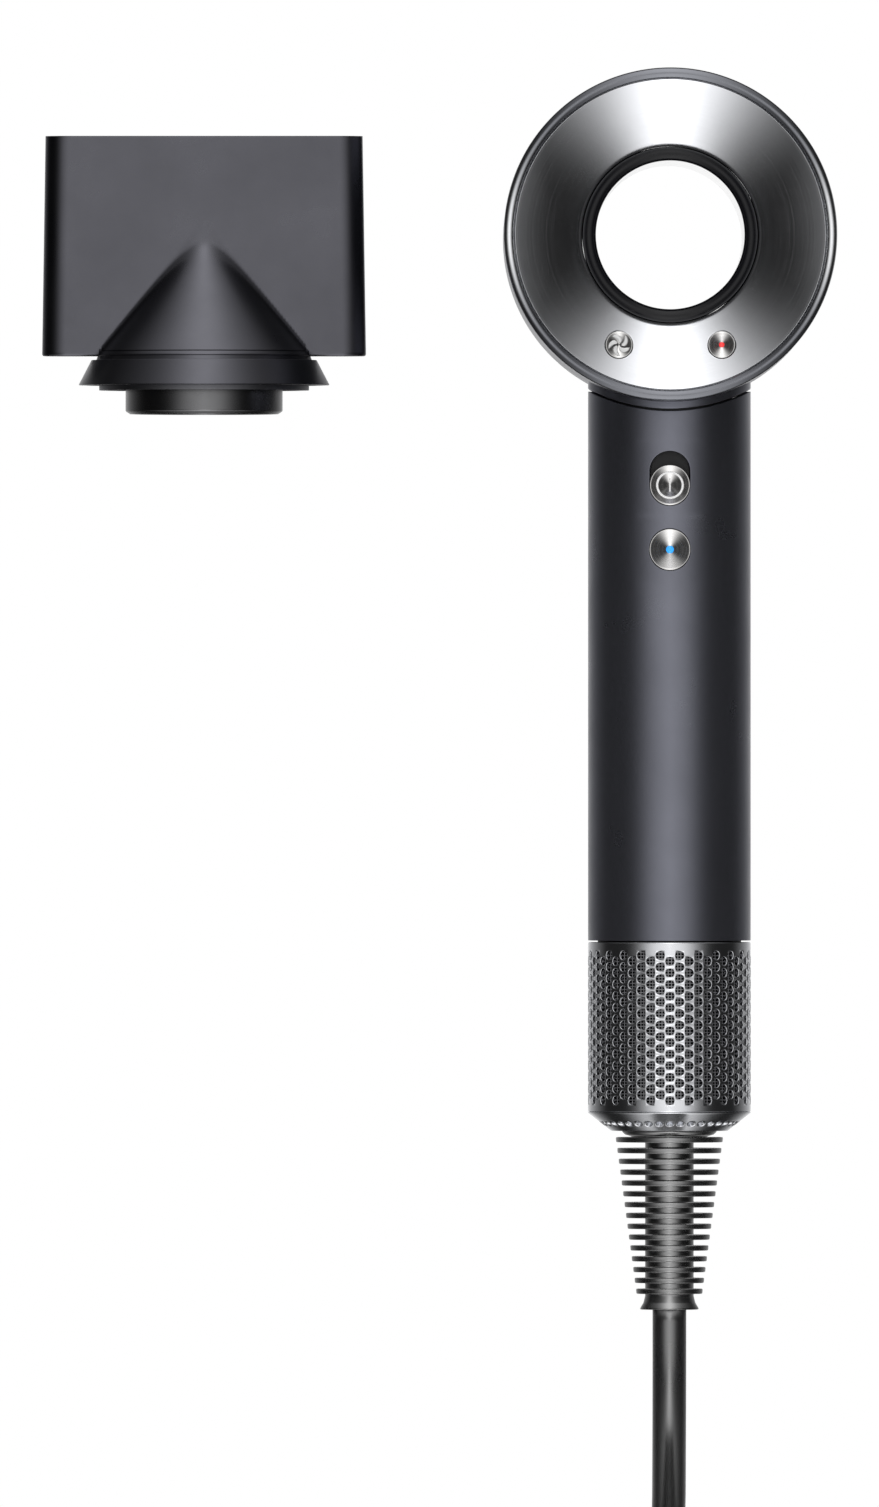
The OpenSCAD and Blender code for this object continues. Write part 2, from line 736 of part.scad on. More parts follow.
module filter_cage() {
  outline = [[handle_r, cage_top_z], [handle_r, taper_z], [cage_mouth_r + 0.6, cage_end_z],
    [cage_mouth_r, cage_end_z], [cage_mouth_r, cage_end_z + 1.4], [cage_in_r, taper_z + 0.9],
    [cage_in_r, cage_top_z]];
  color("gray") difference() {
    rotate_extrude($fn = 96) polygon(outline);
    for (c = [0:intake_cols - 1]) rotate([0, 0, c * 360 / intake_cols - 90])
      for (k = [0:intake_rows - 1])
        translate([cage_in_r - cut, 0, cage_top_z - rim_h - (k + (c % 2) / 2) * intake_pitch])
          rotate([0, 90, 0]) cylinder(r = intake_d / 2, h = cage_wall + 2 * cut);
  }
}

module filter_mesh() {
  color("silver") ring(cage_in_r - fit, cage_in_r - fit - mesh_t, taper_z + 1.2,
    cage_top_z - taper_z - 1.6);
}

module inlet_mesh() {
  color("silver") ring(frame_r + mesh_t + fit, frame_r + fit, taper_z + 3,
    grip_low_z - taper_z - 4);
}

module cord_clamp() {
  color("black") difference() {
    translate([-8, -4.5, cage_end_z + 3.1]) cube([16, 9, 3]);
    translate([0, 0, cage_end_z]) cylinder(r = cord_r + fit / 2, h = 10);
  }
}

module strain_relief() {
  top_flare = [[cord_r + fit, relief_top_z], [11.4, relief_top_z], [10.6, relief_top_z - 0.3],
    [9, relief_top_z - 1.5]];
  core = [[core_top_r, relief_top_z - 1.5], [core_top_r, relief_end_z + 3.4]];
  end_flare = [[6.1, relief_end_z + 2], [7.05, relief_end_z], [cord_r + fit, relief_end_z]];
  color("black") union() {
    rotate_extrude() polygon(concat(top_flare, core, end_flare));
    for (i = [0:fin_count - 1])
      ring((fin_first_d + (fin_last_d - fin_first_d) * i / (fin_count - 1)) / 2,
        core_top_r - 0.5, relief_top_z - 2.1 - fin_t / 2 - i * fin_pitch, fin_t);
  }
}

module cord_inner() {
  color("black") translate([0, 0, relief_end_z])
    cylinder(r = cord_r, h = cage_end_z + 10 - relief_end_z);
}

module lead_wires() {
  start_z = cage_end_z + 10;
  color("saddlebrown") for (s = [-1, 1])
    tube([[s * 1.6, 0, start_z], [s * 1.6, 0, start_z + 2], [s * 2.4, 0, start_z + 8],
      [s * 5, 2, start_z + 20], [s * 6, 3, grip_low_z + 4], [s * 6, 3, motor_low_z - 3]],
      1, 8, [0, 1, 0]);
}

// ---- Cord, hank, tie and plug ----

module power_cord() {
  color("black") union() {
    tube(CORD_ROUTE, cord_r, 12, [1, 0, 0]);
    tube(TAIL_ROUTE, cord_r, 12, [1, 0, 0]);
  }
}

// The outline of the whole hank, grown outwards by grow
module hank_outline(grow) {
  w = 2 * (hank_x + grow);
  h = hank_top_z - hank_low_z + 2 * grow;
  translate([0, 0, (hank_top_z + hank_low_z) / 2])
    stadium(w, h, hank_front_y - grow, hank_back_y - hank_front_y + 2 * grow);
}

module cord_hank() {
  loop_w = cord_d + 1;
  color("black") difference() {
    hank_outline(0);
    translate([0, 0, (hank_top_z + hank_low_z) / 2])
      stadium(2 * (hank_x - loop_w), hank_top_z - hank_low_z - 2 * loop_w, 2 * hank_front_y,
        4 * hank_back_y);
  }
}

module hank_tie() {
  color("dimgray") intersection() {
    difference() {
      hank_outline(tie_t);
      hank_outline(fit);
    }
    translate([-2 * hank_x, 2 * hank_front_y, tie_z - tie_h / 2])
      cube([4 * hank_x, 2 * (hank_back_y - hank_front_y), tie_h]);
  }
}

module plug_body() {
  body_z = plug_top_z - plug_relief_h;
  color("black") translate([0, plug_y, 0]) union() {
    translate([0, 0, body_z]) cylinder(r1 = 8, r2 = 5.2, h = plug_relief_h);
    translate([0, 0, body_z - 8]) cylinder(r1 = 12, r2 = 8, h = 8);
    intersection() {
      translate([0, 0, body_z - plug_h]) cylinder(d = plug_w, h = plug_h - 6);
      translate([-plug_w / 2, -plug_deep / 2, body_z - plug_h]) cube([plug_w, plug_deep, plug_h]);
    }
  }
}

module plug_pins() {
  face_z = plug_top_z - plug_relief_h - plug_h;
  color("silver") for (s = [-1, 1]) translate([s * pin_gap / 2, plug_y, face_z - pin_len])
    cylinder(d = pin_d, h = pin_len);
}

// ---- Loose nozzle ----

// The blade's outline, seen from the front, as a slab of thickness t and drawn in by inset
module blade(t, inset, low, high) {
  translate([-nozzle_x, t / 2, 0]) rotate([90, 0, 0]) linear_extrude(height = t)
    polygon([[-blade_root_w / 2 + inset, low], [blade_root_w / 2 - inset, low],
      [blade_tip_w / 2 - inset, high], [-blade_tip_w / 2 + inset, high]]);
}

// The cone and flange that lead from the round seat to the blade, drawn in by inset
module nozzle_root(inset) {
  translate([-nozzle_x, 0, 0]) rotate_extrude() polygon([
    [0, flange_low_z], [flange_r - inset, flange_low_z],
    [flange_top_r - inset, flange_top_z], [neck_r - inset, flange_top_z],
    [neck_r - inset, blade_low_z], [neck_r - inset - cone_h * cone_slope, blade_low_z + cone_h],
    [0, blade_low_z + cone_h]]);
}

module nozzle_shell() {
  color("gray") difference() {
    union() {
      blade(blade_t, 0, blade_low_z, mouth_z);
      nozzle_root(0);
    }
    blade(blade_t - 2 * nozzle_wall, nozzle_wall, blade_low_z + nozzle_wall, mouth_z + cut);
    nozzle_root(nozzle_wall);
    translate([-nozzle_x, 0, flange_low_z - cut])
      cylinder(r = flange_top_r - nozzle_wall - 0.4, h = cut + flange_h);
  }
}

module nozzle_core() {
  low_z = flange_low_z - spigot_len;
  nose = [[0, low_z + 5], [spigot_r - 3, low_z + 5], [spigot_r - 1.5, low_z], [spigot_r - 1, low_z],
    [spigot_r, low_z + 1], [spigot_r, flange_low_z + 1], [4, flange_top_z + 14],
    [0, flange_top_z + 15]];
  color("black") translate([-nozzle_x, 0, 0]) union() {
    rotate_extrude() polygon(nose);
    for (a = [0:60:300]) rotate([0, 0, a + 30])
      translate([spigot_r - 2, -0.6, flange_low_z])
        cube([flange_top_r - nozzle_wall - 0.5 - spigot_r + 2, 1.2, 3]);
  }
}

module nozzle_keeper() {
  color("silver") translate([-nozzle_x, 0, 0])
    ring(flange_top_r - nozzle_wall - 0.5, flange_top_r - nozzle_wall - 2.3,
      flange_low_z - 1.2, 1.2 - fit);
}

handle_shell();
neck_sleeve();
neck_screws();
head_shell();
rear_funnel();
air_tube();
front_ring();
outlet_magnets();
heat_shield();
heater_frame();
heater_coil();
thermal_cutout();
thermistor();
ion_emitter();
ring_board();
face_switches();
head_harness();
airflow_button();
airflow_spring();
heat_button();
heat_lens();
heat_spring();
handle_board();
slide_switch();
power_slider();
slider_carriage();
cold_shot_button();
cold_lens();
cold_spring();
cold_switch();
motor_housing();
motor_mounts();
vane_ring();
bearing_bridge();
bearings();
stator_core();
stator_coils();
motor_board();
motor_shaft();
rotor_magnet();
impeller();
silencer_foam();
inlet_frame();
inlet_mesh();
filter_cage();
filter_mesh();
cord_clamp();
strain_relief();
cord_inner();
lead_wires();
power_cord();
cord_hank();
hank_tie();
plug_body();
plug_pins();
nozzle_shell();
nozzle_core();
nozzle_keeper();
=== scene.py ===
# %% [markdown]
# # A hair dryer with a ring-shaped head, its cord and its loose nozzle
#
# A fan motor sits in the grip and pushes air up into a hollow, ring-shaped head. The air leaves
# through a narrow ring slot at the front. The grip's lower end is a perforated filter cage that
# pulls off for cleaning, and a finned rubber sleeve leads the cord out of it.
#
# The CAD model gives the exact solids and joints. This script gives them their looks: most of the
# visible shells are built again here as fine surfaces, with rounded edges and real perforations,
# and every piece gets a material made only of maths. Lengths in the script are in millimetres
# unless a comment says otherwise, and the object stands upright with its rear face towards -Y.

import json
import math

import bmesh
import bpy
import numpy as np
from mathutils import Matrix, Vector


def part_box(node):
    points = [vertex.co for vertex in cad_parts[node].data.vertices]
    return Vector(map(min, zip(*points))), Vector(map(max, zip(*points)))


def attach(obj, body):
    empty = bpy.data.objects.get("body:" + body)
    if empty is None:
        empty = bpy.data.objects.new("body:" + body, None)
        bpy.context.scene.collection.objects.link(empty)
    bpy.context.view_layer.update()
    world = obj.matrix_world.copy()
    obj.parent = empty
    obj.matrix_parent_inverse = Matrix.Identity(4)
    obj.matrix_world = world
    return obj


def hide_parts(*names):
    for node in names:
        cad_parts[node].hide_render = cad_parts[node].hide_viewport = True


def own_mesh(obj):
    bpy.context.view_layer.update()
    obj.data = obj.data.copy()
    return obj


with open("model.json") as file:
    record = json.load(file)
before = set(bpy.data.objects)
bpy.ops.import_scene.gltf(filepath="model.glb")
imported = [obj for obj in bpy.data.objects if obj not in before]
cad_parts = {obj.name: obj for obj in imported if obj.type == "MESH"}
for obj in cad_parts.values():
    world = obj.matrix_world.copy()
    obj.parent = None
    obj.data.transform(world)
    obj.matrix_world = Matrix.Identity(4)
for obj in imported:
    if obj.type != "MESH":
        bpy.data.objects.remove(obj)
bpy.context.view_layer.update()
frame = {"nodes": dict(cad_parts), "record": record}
scene = bpy.context.scene
MM = 0.001

# %% [markdown]
# ## Camera
#
# The dryer is looked at straight on from behind, from far away, so that the round head stays round
# and the grip's sides stay parallel. A long lens does that.

# %% Camera
CAMERA_AT = (-0.054, -8.0, 0.0006)
VIEW_HEIGHT = 0.354
SENSOR = 36.0
camera_data = bpy.data.cameras.new("camera")
camera_data.sensor_fit = "VERTICAL"
camera_data.sensor_height = SENSOR
camera_data.lens = SENSOR * -CAMERA_AT[1] / VIEW_HEIGHT
camera = bpy.data.objects.new("camera", camera_data)
scene.collection.objects.link(camera)
camera.location = CAMERA_AT
camera.rotation_euler = (math.radians(90), 0, 0)
scene.camera = camera
print("camera lens", round(camera_data.lens, 1), "mm")

# %% [markdown]
# ## Sizes
#
# These are the CAD model's own sizes. The head's axis runs along Y at height `HEAD_Z`, and the
# grip's axis is Z.

# %% Sizes
HEAD_Z = 122.0
HEAD_R = 39.0
HEAD_IN_R = 37.2
REAR_Y = -40.0
FRONT_Y = 57.0
RING_Y = 47.0
RIM_R = 37.7
RIM_ROUND = 1.3
RIM_Y = REAR_Y + RIM_ROUND
FUNNEL_R = 36.3
FUNNEL_Y = RIM_Y + 0.3
LIP_OUT_R = 20.65
SLOPE_OUT = math.radians(24)
SLOPE_IN = math.radians(38)
FUNNEL_BEND = (FUNNEL_R - LIP_OUT_R) / (math.sin(SLOPE_IN) - math.sin(SLOPE_OUT))
HOLE_R = 17.4
TUBE_R = 18.9
SEAT_R = 18.6
SEAT_Y = 49.0
SLOT_IN_R = 20.1
SLOT_OUT_R = 22.0
RECESS_R = 29.8
HANDLE_R = 19.1
HANDLE_WALL = 1.2
HANDLE_LOW = -43.3
HANDLE_TOP_R = 41.1
SADDLE_R = 40.6
SLIDER_Z = 63.5
SLIDER_R = 4.7
COLD_Z = 48.4
COLD_R = 4.8
FACE_X = 12.0
FACE_DROP = 25.8
FACE_R = 3.15
SLIP = 0.15
RELIEF_TOP = -88.0
RELIEF_END = -130.0
NOZZLE_X = -109.3
SEGMENTS = 160


def funnel_height(r):
    """Place along the head's axis of the rear funnel's face at radius r: an arc whose slope
    grows from the outer edge to the inner one."""
    sine = math.sin(SLOPE_IN) - (r - LIP_OUT_R) / FUNNEL_BEND
    return FUNNEL_Y + FUNNEL_BEND * (math.cos(SLOPE_OUT) - np.sqrt(1 - sine * sine))


LIP_Y = float(funnel_height(LIP_OUT_R)) + 0.4
print("funnel depth", round(float(funnel_height(LIP_OUT_R)) - FUNNEL_Y, 2), "mm")

# %% [markdown]
# ## How surfaces are made
#
# A surface is a grid: rows and columns of points, with a four-cornered face between each four
# neighbours. Three kinds are enough here.
#
# * A **turned** surface spins a profile round an axis, as a lathe does. `rounded` first softens
#   the profile's corners, because no real edge is perfectly sharp.
# * A **loft** runs through cross-sections that change from one end to the other.
# * A **holed** grid leaves out blocks of faces, and fills each with rings of faces that close in
#   on a round or slotted hole. It's made as a single skin and then thickened, and its edges are
#   rounded by a bevel.


# %% Surface tools
def unit(v):
    """Each row of v, made one long."""
    return v / np.maximum(np.linalg.norm(v, axis=-1, keepdims=True), 1e-12)


def rounded(corners, radii, steps=4):
    """A closed profile with its corners softened: each corner becomes a smooth bend that starts
    and ends where a circle of its radius would touch the two sides."""
    p = np.array(corners, float)
    to_last, to_next = np.roll(p, 1, 0) - p, np.roll(p, -1, 0) - p
    room = 0.49 * np.minimum(np.linalg.norm(to_last, axis=1), np.linalg.norm(to_next, axis=1))
    a, b = unit(to_last), unit(to_next)
    half = np.arccos(np.clip((a * b).sum(1), -1, 1)) / 2
    reach = np.minimum(np.broadcast_to(radii, half.shape) / np.maximum(np.tan(half), 1e-6), room)
    t = np.linspace(0, 1, steps + 1)[None, :, None]
    start, end = p + a * reach[:, None], p + b * reach[:, None]
    bend = (1 - t) ** 2 * start[:, None] + 2 * t * (1 - t) * p[:, None] + t**2 * end[:, None]
    bend = bend.reshape(-1, 2)
    return bend[np.linalg.norm(bend - np.roll(bend, 1, 0), axis=1) > 1e-4]


def grid_faces(rows, cols, wrap_rows=False, wrap_cols=False):
    """Faces between neighbours of a grid of points, numbered row by row."""
    i = np.arange(rows if wrap_rows else rows - 1)[:, None]
    j = np.arange(cols if wrap_cols else cols - 1)[None, :]
    i2, j2 = (i + 1) % rows, (j + 1) % cols
    return np.stack((i * cols + j, i * cols + j2, i2 * cols + j2, i2 * cols + j), -1).reshape(-1, 4)


def turned(profile, sides=SEGMENTS, axis="Z", centre=(0, 0, 0)):
    """Spins (radius, height) points round an axis. A profile that starts and ends on the axis
    closes in two poles, and any other is a closed loop that makes a ring."""
    p = np.array(profile, float)
    poles = p[0, 0] < 1e-6 and p[-1, 0] < 1e-6
    ring = p[1:-1] if poles else p
    angle = np.linspace(0, 2 * np.pi, sides, endpoint=False)
    r, h = ring[:, :1], np.broadcast_to(ring[:, 1:], (len(ring), sides))
    across, up = r * np.cos(angle), r * np.sin(angle)
    points = np.stack((across, up, h) if axis == "Z" else (across, h, up), -1).reshape(-1, 3)
    faces = [grid_faces(len(ring), sides, wrap_rows=not poles, wrap_cols=True)]
    if poles:
        ends = np.array([[0, 0, p[0, 1]], [0, 0, p[-1, 1]]])
        ends = ends if axis == "Z" else ends[:, [0, 2, 1]]
        n, j = len(points), np.arange(sides)
        k, last = (j + 1) % sides, (len(ring) - 1) * sides
        faces += [np.stack((np.full(sides, n), k, j), -1)]
        faces += [np.stack((np.full(sides, n + 1), last + j, last + k), -1)]
        points = np.concatenate((points, ends))
    return points + np.array(centre, float), faces


def outward(points, faces, facing):
    """The faces, turned over if they look inwards: the volume they enclose is then negative.
    For an open skin, facing is the way that it should look."""
    total = 0.0
    for group in faces:
        for k in range(1, group.shape[1] - 1):
            a, b, c = points[group[:, 0]], points[group[:, k]], points[group[:, k + 1]]
            cross = np.cross(b - a, c - a)
            total += (cross @ np.array(facing)).sum() if facing else (a * cross).sum()
    return faces if total > 0 else [group[:, ::-1] for group in faces]


def piece(name, shape, body, nodes=(), facing=None, merge=False):
    """Makes a smooth-shaded object of a shape's points and faces, puts it on a CAD body and
    lets it stand for the CAD nodes that it replaces."""
    points, faces = shape
    faces = outward(points, faces, facing)
    mesh = bpy.data.meshes.new(name)
    corners = np.concatenate([group.ravel() for group in faces])
    counts = np.concatenate([np.full(len(group), group.shape[1]) for group in faces])
    mesh.vertices.add(len(points))
    mesh.vertices.foreach_set("co", (points * MM).astype(np.float32).ravel())
    mesh.loops.add(len(corners))
    mesh.loops.foreach_set("vertex_index", corners.astype(np.int32))
    mesh.polygons.add(len(counts))
    mesh.polygons.foreach_set("loop_start", (np.cumsum(counts) - counts).astype(np.int32))
    mesh.polygons.foreach_set("use_smooth", np.ones(len(counts), bool))
    mesh.update(calc_edges=True)
    if merge:
        work = bmesh.new()
        work.from_mesh(mesh)
        bmesh.ops.remove_doubles(work, verts=work.verts, dist=2e-6)
        bmesh.ops.recalc_face_normals(work, faces=work.faces)
        work.to_mesh(mesh)
        work.free()
    obj = bpy.data.objects.new(name, mesh)
    scene.collection.objects.link(obj)
    if body:
        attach(obj, body)
    if nodes:
        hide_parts(*nodes)
    print(name, len(points), "points,", len(counts), "faces")
    return obj


def finish_edges(obj, thickness=None, bevel=None, steps=3):
    """Thickens a skin inwards, rounds its sharp edges, and weights its shading by area so that
    flat faces stay flat beside the rounded edges."""
    if thickness:
        solid = obj.modifiers.new("thickness", "SOLIDIFY")
        solid.thickness = thickness * MM
        solid.offset = -1
        solid.use_even_offset = True
    if bevel:
        edge = obj.modifiers.new("edges", "BEVEL")
        edge.width = bevel * MM
        edge.segments = steps
        edge.limit_method = "ANGLE"
        edge.angle_limit = math.radians(50)
    shading = obj.modifiers.new("shading", "WEIGHTED_NORMAL")
    shading.keep_sharp = True
    return obj


def holed_grid(grid, holes, steps, wrap=True):
    """A flat grid of places with holes. Each hole is (first row, last row, first column, last
    column, centre, half length, radius). From the block's border, rings step in to the nearest
    points of the hole's edge, which is a circle or, with a half length, an upright slot."""
    rows, cols = grid.shape[:2]
    faces = grid_faces(rows, cols, wrap_cols=wrap)
    row, col = faces[:, 0] // cols, faces[:, 0] % cols
    places, count, filled = [grid.reshape(-1, 2)], rows * cols, []
    keep = np.ones(len(faces), bool)
    for r0, r1, c0, c1, centre, half, radius in holes:
        keep &= ~((row >= r0) & (row < r1) & (col >= c0) & (col < c1))
        across, up = np.arange(c0, c1), np.arange(r0, r1)
        border = np.concatenate(
            (r0 * cols + across, up * cols + c1, r1 * cols + across[::-1] + 1, up[::-1] * cols + cols + c0)
        )
        start = places[0][border]
        spine = np.zeros_like(start)
        spine[:, 1] = np.clip(start[:, 1] - centre[1], -half, half)
        edge = centre + spine + radius * unit(start - centre - spine)
        t = np.array(steps)[:, None, None]
        rings = start[None] * (1 - t) + edge[None] * t
        number = np.vstack((border, count + np.arange(len(t) * len(border)).reshape(len(t), -1)))
        filled.append(number.ravel()[grid_faces(*number.shape, wrap_cols=True)])
        places.append(rings.reshape(-1, 2))
        count += len(t) * len(border)
    return np.concatenate(places), [faces[keep]] + filled


def loft(rows, sides=96, centre=(0, 0)):
    """Rounded sections stacked along Z. A row is (z, half width, half depth, squareness), where
    2 is an ellipse and more is squarer. The first and last rows shrink to a point."""
    r = np.array(rows, float)
    angle = np.linspace(0, 2 * np.pi, sides, endpoint=False)
    power = 2 / r[:, 3:]
    across = r[:, 1:2] * np.sign(np.cos(angle)) * np.abs(np.cos(angle)) ** power
    deep = r[:, 2:3] * np.sign(np.sin(angle)) * np.abs(np.sin(angle)) ** power
    high = np.broadcast_to(r[:, :1], across.shape)
    points = np.stack((across + centre[0], deep + centre[1], high), -1).reshape(-1, 3)
    ends = np.array([[*centre, r[0, 0]], [*centre, r[-1, 0]]])
    n, j = len(points), np.arange(sides)
    k, last = (j + 1) % sides, (len(r) - 1) * sides
    caps = [np.stack((np.full(sides, n), k, j), -1),
            np.stack((np.full(sides, n + 1), last + j, last + k), -1)]
    return np.concatenate((points, ends)), [grid_faces(len(r), sides, wrap_cols=True)] + caps


# %% [markdown]
# ## Cord
#
# The cord is a round rubber cable, 2.7 m long. It leaves the finned sleeve, hangs down behind and
# is wound six times into an upright hank, whose end carries the plug. The centreline is a list of
# points: a smooth curve through the free parts, and for the hank a long loop whose depth grows
# evenly, so that no turn lies inside the next.

# %% Cord
CORD_R = 4.0
CORD_STEP = 3.0
ENTRY = [[0, 0, -130], [0, 0, -138], [0, 1, -146], [0, 4, -155], [0, 9, -164], [0, 15, -173],
         [0, 21, -182], [1, 25, -191], [3, 27, -201], [7, 27.5, -212], [12, 27, -222],
         [17, 26.5, -232], [21, 26, -243], [23, 25.3, -254]]
TAIL = [[24, -25, -246], [23, -26, -254], [21, -29, -265], [17, -33, -277], [11, -37, -288],
        [5, -41, -299], [1, -44, -310], [0, -45, -322]]
HANK_X, HANK_TOP, HANK_LOW, HANK_DEEP = 24.0, -220.0, -350.0, 24.6
HANK_START, HANK_TURNS = -265.0, 5


def hank_line():
    """Points down the right side, round the lower bend, up the left side and over the upper
    bend, again and again, while the depth falls evenly from back to front."""
    side, bend = HANK_TOP - HANK_LOW, np.pi * HANK_X
    turn = 2 * (side + bend)
    skipped = HANK_TOP - HANK_START
    total = turn * (HANK_TURNS + 1) - skipped
    s = np.arange(0, total, CORD_STEP)
    t = (s + skipped) % turn
    down, low, up = t < side, t < side + bend, t < 2 * side + bend
    a_low, a_top = (t - side) / HANK_X, (t - 2 * side - bend) / HANK_X
    x = np.where(down, HANK_X, np.where(
        low, HANK_X * np.cos(a_low), np.where(up, -HANK_X, -HANK_X * np.cos(a_top))))
    z = np.where(down, HANK_TOP - t, np.where(low, HANK_LOW - HANK_X * np.sin(a_low),
                 np.where(up, HANK_LOW + t - side - bend, HANK_TOP + HANK_X * np.sin(a_top))))
    return np.stack((x, HANK_DEEP * (1 - 2 * s / total), z), -1)


def smooth_line(points, step):
    """A curve that bends evenly through the points, cut again into equal steps."""
    p = np.array(points, float)
    p = np.vstack((2 * p[0] - p[1], p, 2 * p[-1] - p[-2]))
    a, b, c, d = (p[i : len(p) - 3 + i, None] for i in range(4))
    t = np.linspace(0, 1, 9)[None, :-1, None]
    q = 0.5 * (2 * b + (c - a) * t + (2 * a - 5 * b + 4 * c - d) * t**2 + (3 * b - a - 3 * c + d) * t**3)
    q = np.vstack((q.reshape(-1, 3), p[-2]))
    run = np.concatenate(([0], np.cumsum(np.linalg.norm(np.diff(q, axis=0), axis=1))))
    even = np.linspace(0, run[-1], int(run[-1] / step) + 1)
    return np.stack([np.interp(even, run, q[:, k]) for k in range(3)], -1)


def swept(line, r, sides):
    """A round tube along a line, with flat ends. Each ring stands square to the line and is
    turned as little as possible from the last, by taking a fixed side that the line never follows."""
    along = unit(np.gradient(line, axis=0))
    side = unit(np.cross(np.array([0.15, 1.0, 0.0]), along))
    other = np.cross(along, side)
    a = np.linspace(0, 2 * np.pi, sides, endpoint=False)[None, :, None]
    points = line[:, None] + r * (np.cos(a) * side[:, None] + np.sin(a) * other[:, None])
    n, last = points.shape[0] * sides, (len(line) - 1) * sides
    j = np.arange(sides)
    k = (j + 1) % sides
    caps = [np.stack((np.full(sides, n), k, j), -1),
            np.stack((np.full(sides, n + 1), last + j, last + k), -1)]
    points = np.vstack((points.reshape(-1, 3), line[:1], line[-1:]))
    return points, [grid_faces(len(line), sides, wrap_cols=True)] + caps


cord_line = smooth_line(np.vstack((ENTRY, hank_line()[::4], TAIL)), CORD_STEP)
cord = piece("cord", swept(cord_line, CORD_R, 20), "handle", ("power_cord", "cord_hank"))
cord_run = np.linalg.norm(np.diff(cord_line, axis=0), axis=1).sum() * MM
print("cord centreline", round(float(cord_run), 3), "m")

# %% [markdown]
# ## Patterns shared by the materials
#
# A pattern group holds only maths on the surface's own place, and gives values, colours or
# directions. Materials then use them in their own shader.
#
# * **grain**: fine, even noise, for moulded and plated surfaces.
# * **smudge**: broad, soft patches, so that no surface is equally shiny everywhere.
# * **turned lines**: fine rings round an axis, and the direction across them. Light spreads
#   across fine grooves, which gives turned metal its bright bow-tie.
# * **weave**: crossing threads round an upright cylinder, with the gaps between them.


# %% Shader tools and pattern groups
def add(tree, kind, inputs=None, **settings):
    """Adds a shader node. An input is another node's socket, which is linked, or a value."""
    node = tree.nodes.new("ShaderNode" + kind)
    for name, value in settings.items():
        setattr(node, name, value)
    for name, value in (inputs or {}).items():
        if isinstance(value, bpy.types.NodeSocket):
            tree.links.new(value, node.inputs[name])
        else:
            node.inputs[name].default_value = value
    return node


def maths(tree, operation, *values):
    """One sum on values or sockets."""
    return add(tree, "Math", dict(enumerate(values)), operation=operation).outputs[0]


def vector_maths(tree, operation, *values, scale=None):
    """One sum on vectors. Dot products and lengths come out as a value."""
    inputs = dict(enumerate(values)) | ({"Scale": scale} if scale is not None else {})
    node = add(tree, "VectorMath", inputs, operation=operation)
    return node.outputs["Value" if operation in ("DOT_PRODUCT", "LENGTH") else "Vector"]


def between(tree, value, low, high, start=0.0, end=1.0):
    """Stretches a value that runs from start to end onto low to high."""
    inputs = {"Value": value, "From Min": start, "From Max": end, "To Min": low, "To Max": high}
    return add(tree, "MapRange", inputs).outputs[0]


def new_group(name, inputs, outputs):
    """An empty pattern group with named inputs and outputs."""
    group = bpy.data.node_groups.new(name, "ShaderNodeTree")
    for label, kind, value in inputs:
        socket = group.interface.new_socket(label, in_out="INPUT", socket_type="NodeSocket" + kind)
        socket.default_value = value
    for label, kind in outputs:
        group.interface.new_socket(label, in_out="OUTPUT", socket_type="NodeSocket" + kind)
    return group, group.nodes.new("NodeGroupInput").outputs, group.nodes.new("NodeGroupOutput")


def make_noise_group(name, scale, detail, roughness):
    """Noise of the surface's own place, from 0 to 1. Grain and smudge differ in their sizes."""
    group, given, out = new_group(name, [("Scale", "Float", scale)], [("Value", "Float")])
    place = add(group, "TexCoord").outputs["Object"]
    inputs = {"Vector": place, "Scale": given["Scale"], "Detail": detail, "Roughness": roughness}
    noise = add(group, "TexNoise", inputs).outputs[0]
    group.links.new(between(group, noise, 0.0, 1.0, 0.3, 0.7), out.inputs["Value"])
    return group


def make_turned_group():
    """Distance from an axis, the direction away from it, and noise that changes only with that
    distance."""
    given = [("Centre", "Vector", (0, 0, 0)), ("Axis", "Vector", (0, 1, 0)), ("Lines", "Float", 2500)]
    group, given, out = new_group("turned lines", given, [("Across", "Vector"), ("Lines", "Float")])
    place = vector_maths(group, "SUBTRACT", add(group, "TexCoord").outputs["Object"], given["Centre"])
    along = vector_maths(group, "DOT_PRODUCT", place, given["Axis"])
    across = vector_maths(group, "SUBTRACT", place, vector_maths(group, "SCALE", given["Axis"], scale=along))
    distance = maths(group, "MULTIPLY", vector_maths(group, "LENGTH", across), given["Lines"])
    noise = add(group, "TexNoise", {"W": distance, "Scale": 1.0, "Detail": 3.0}, noise_dimensions="1D")
    group.links.new(vector_maths(group, "NORMALIZE", across), out.inputs["Across"])
    group.links.new(between(group, noise.outputs[0], 0.0, 1.0, 0.3, 0.7), out.inputs["Lines"])
    return group


def make_weave_group():
    """Crossing threads on an upright cylinder: 1 on the top of a thread, 0 in a gap."""
    given = [("Radius", "Float", 0.018), ("Pitch", "Float", 0.0007)]
    group, given, out = new_group("weave", given, [("Thread", "Float")])
    split = add(group, "SeparateXYZ", {0: add(group, "TexCoord").outputs["Object"]}).outputs
    round_ = maths(group, "MULTIPLY", maths(group, "ARCTAN2", split[0], split[1]), given["Radius"])
    waves = []
    for place in (round_, split[2]):
        turn = maths(group, "DIVIDE", maths(group, "MULTIPLY", place, 2 * math.pi), given["Pitch"])
        waves.append(maths(group, "COSINE", turn))
    top = maths(group, "MAXIMUM", *waves)
    group.links.new(between(group, top, 0.0, 1.0, 0.55, 0.95), out.inputs["Thread"])
    return group


GRAIN = make_noise_group("grain", 4000.0, 2.0, 0.6)
SMUDGE = make_noise_group("smudge", 60.0, 5.0, 0.6)
TURNED = make_turned_group()
WEAVE = make_weave_group()


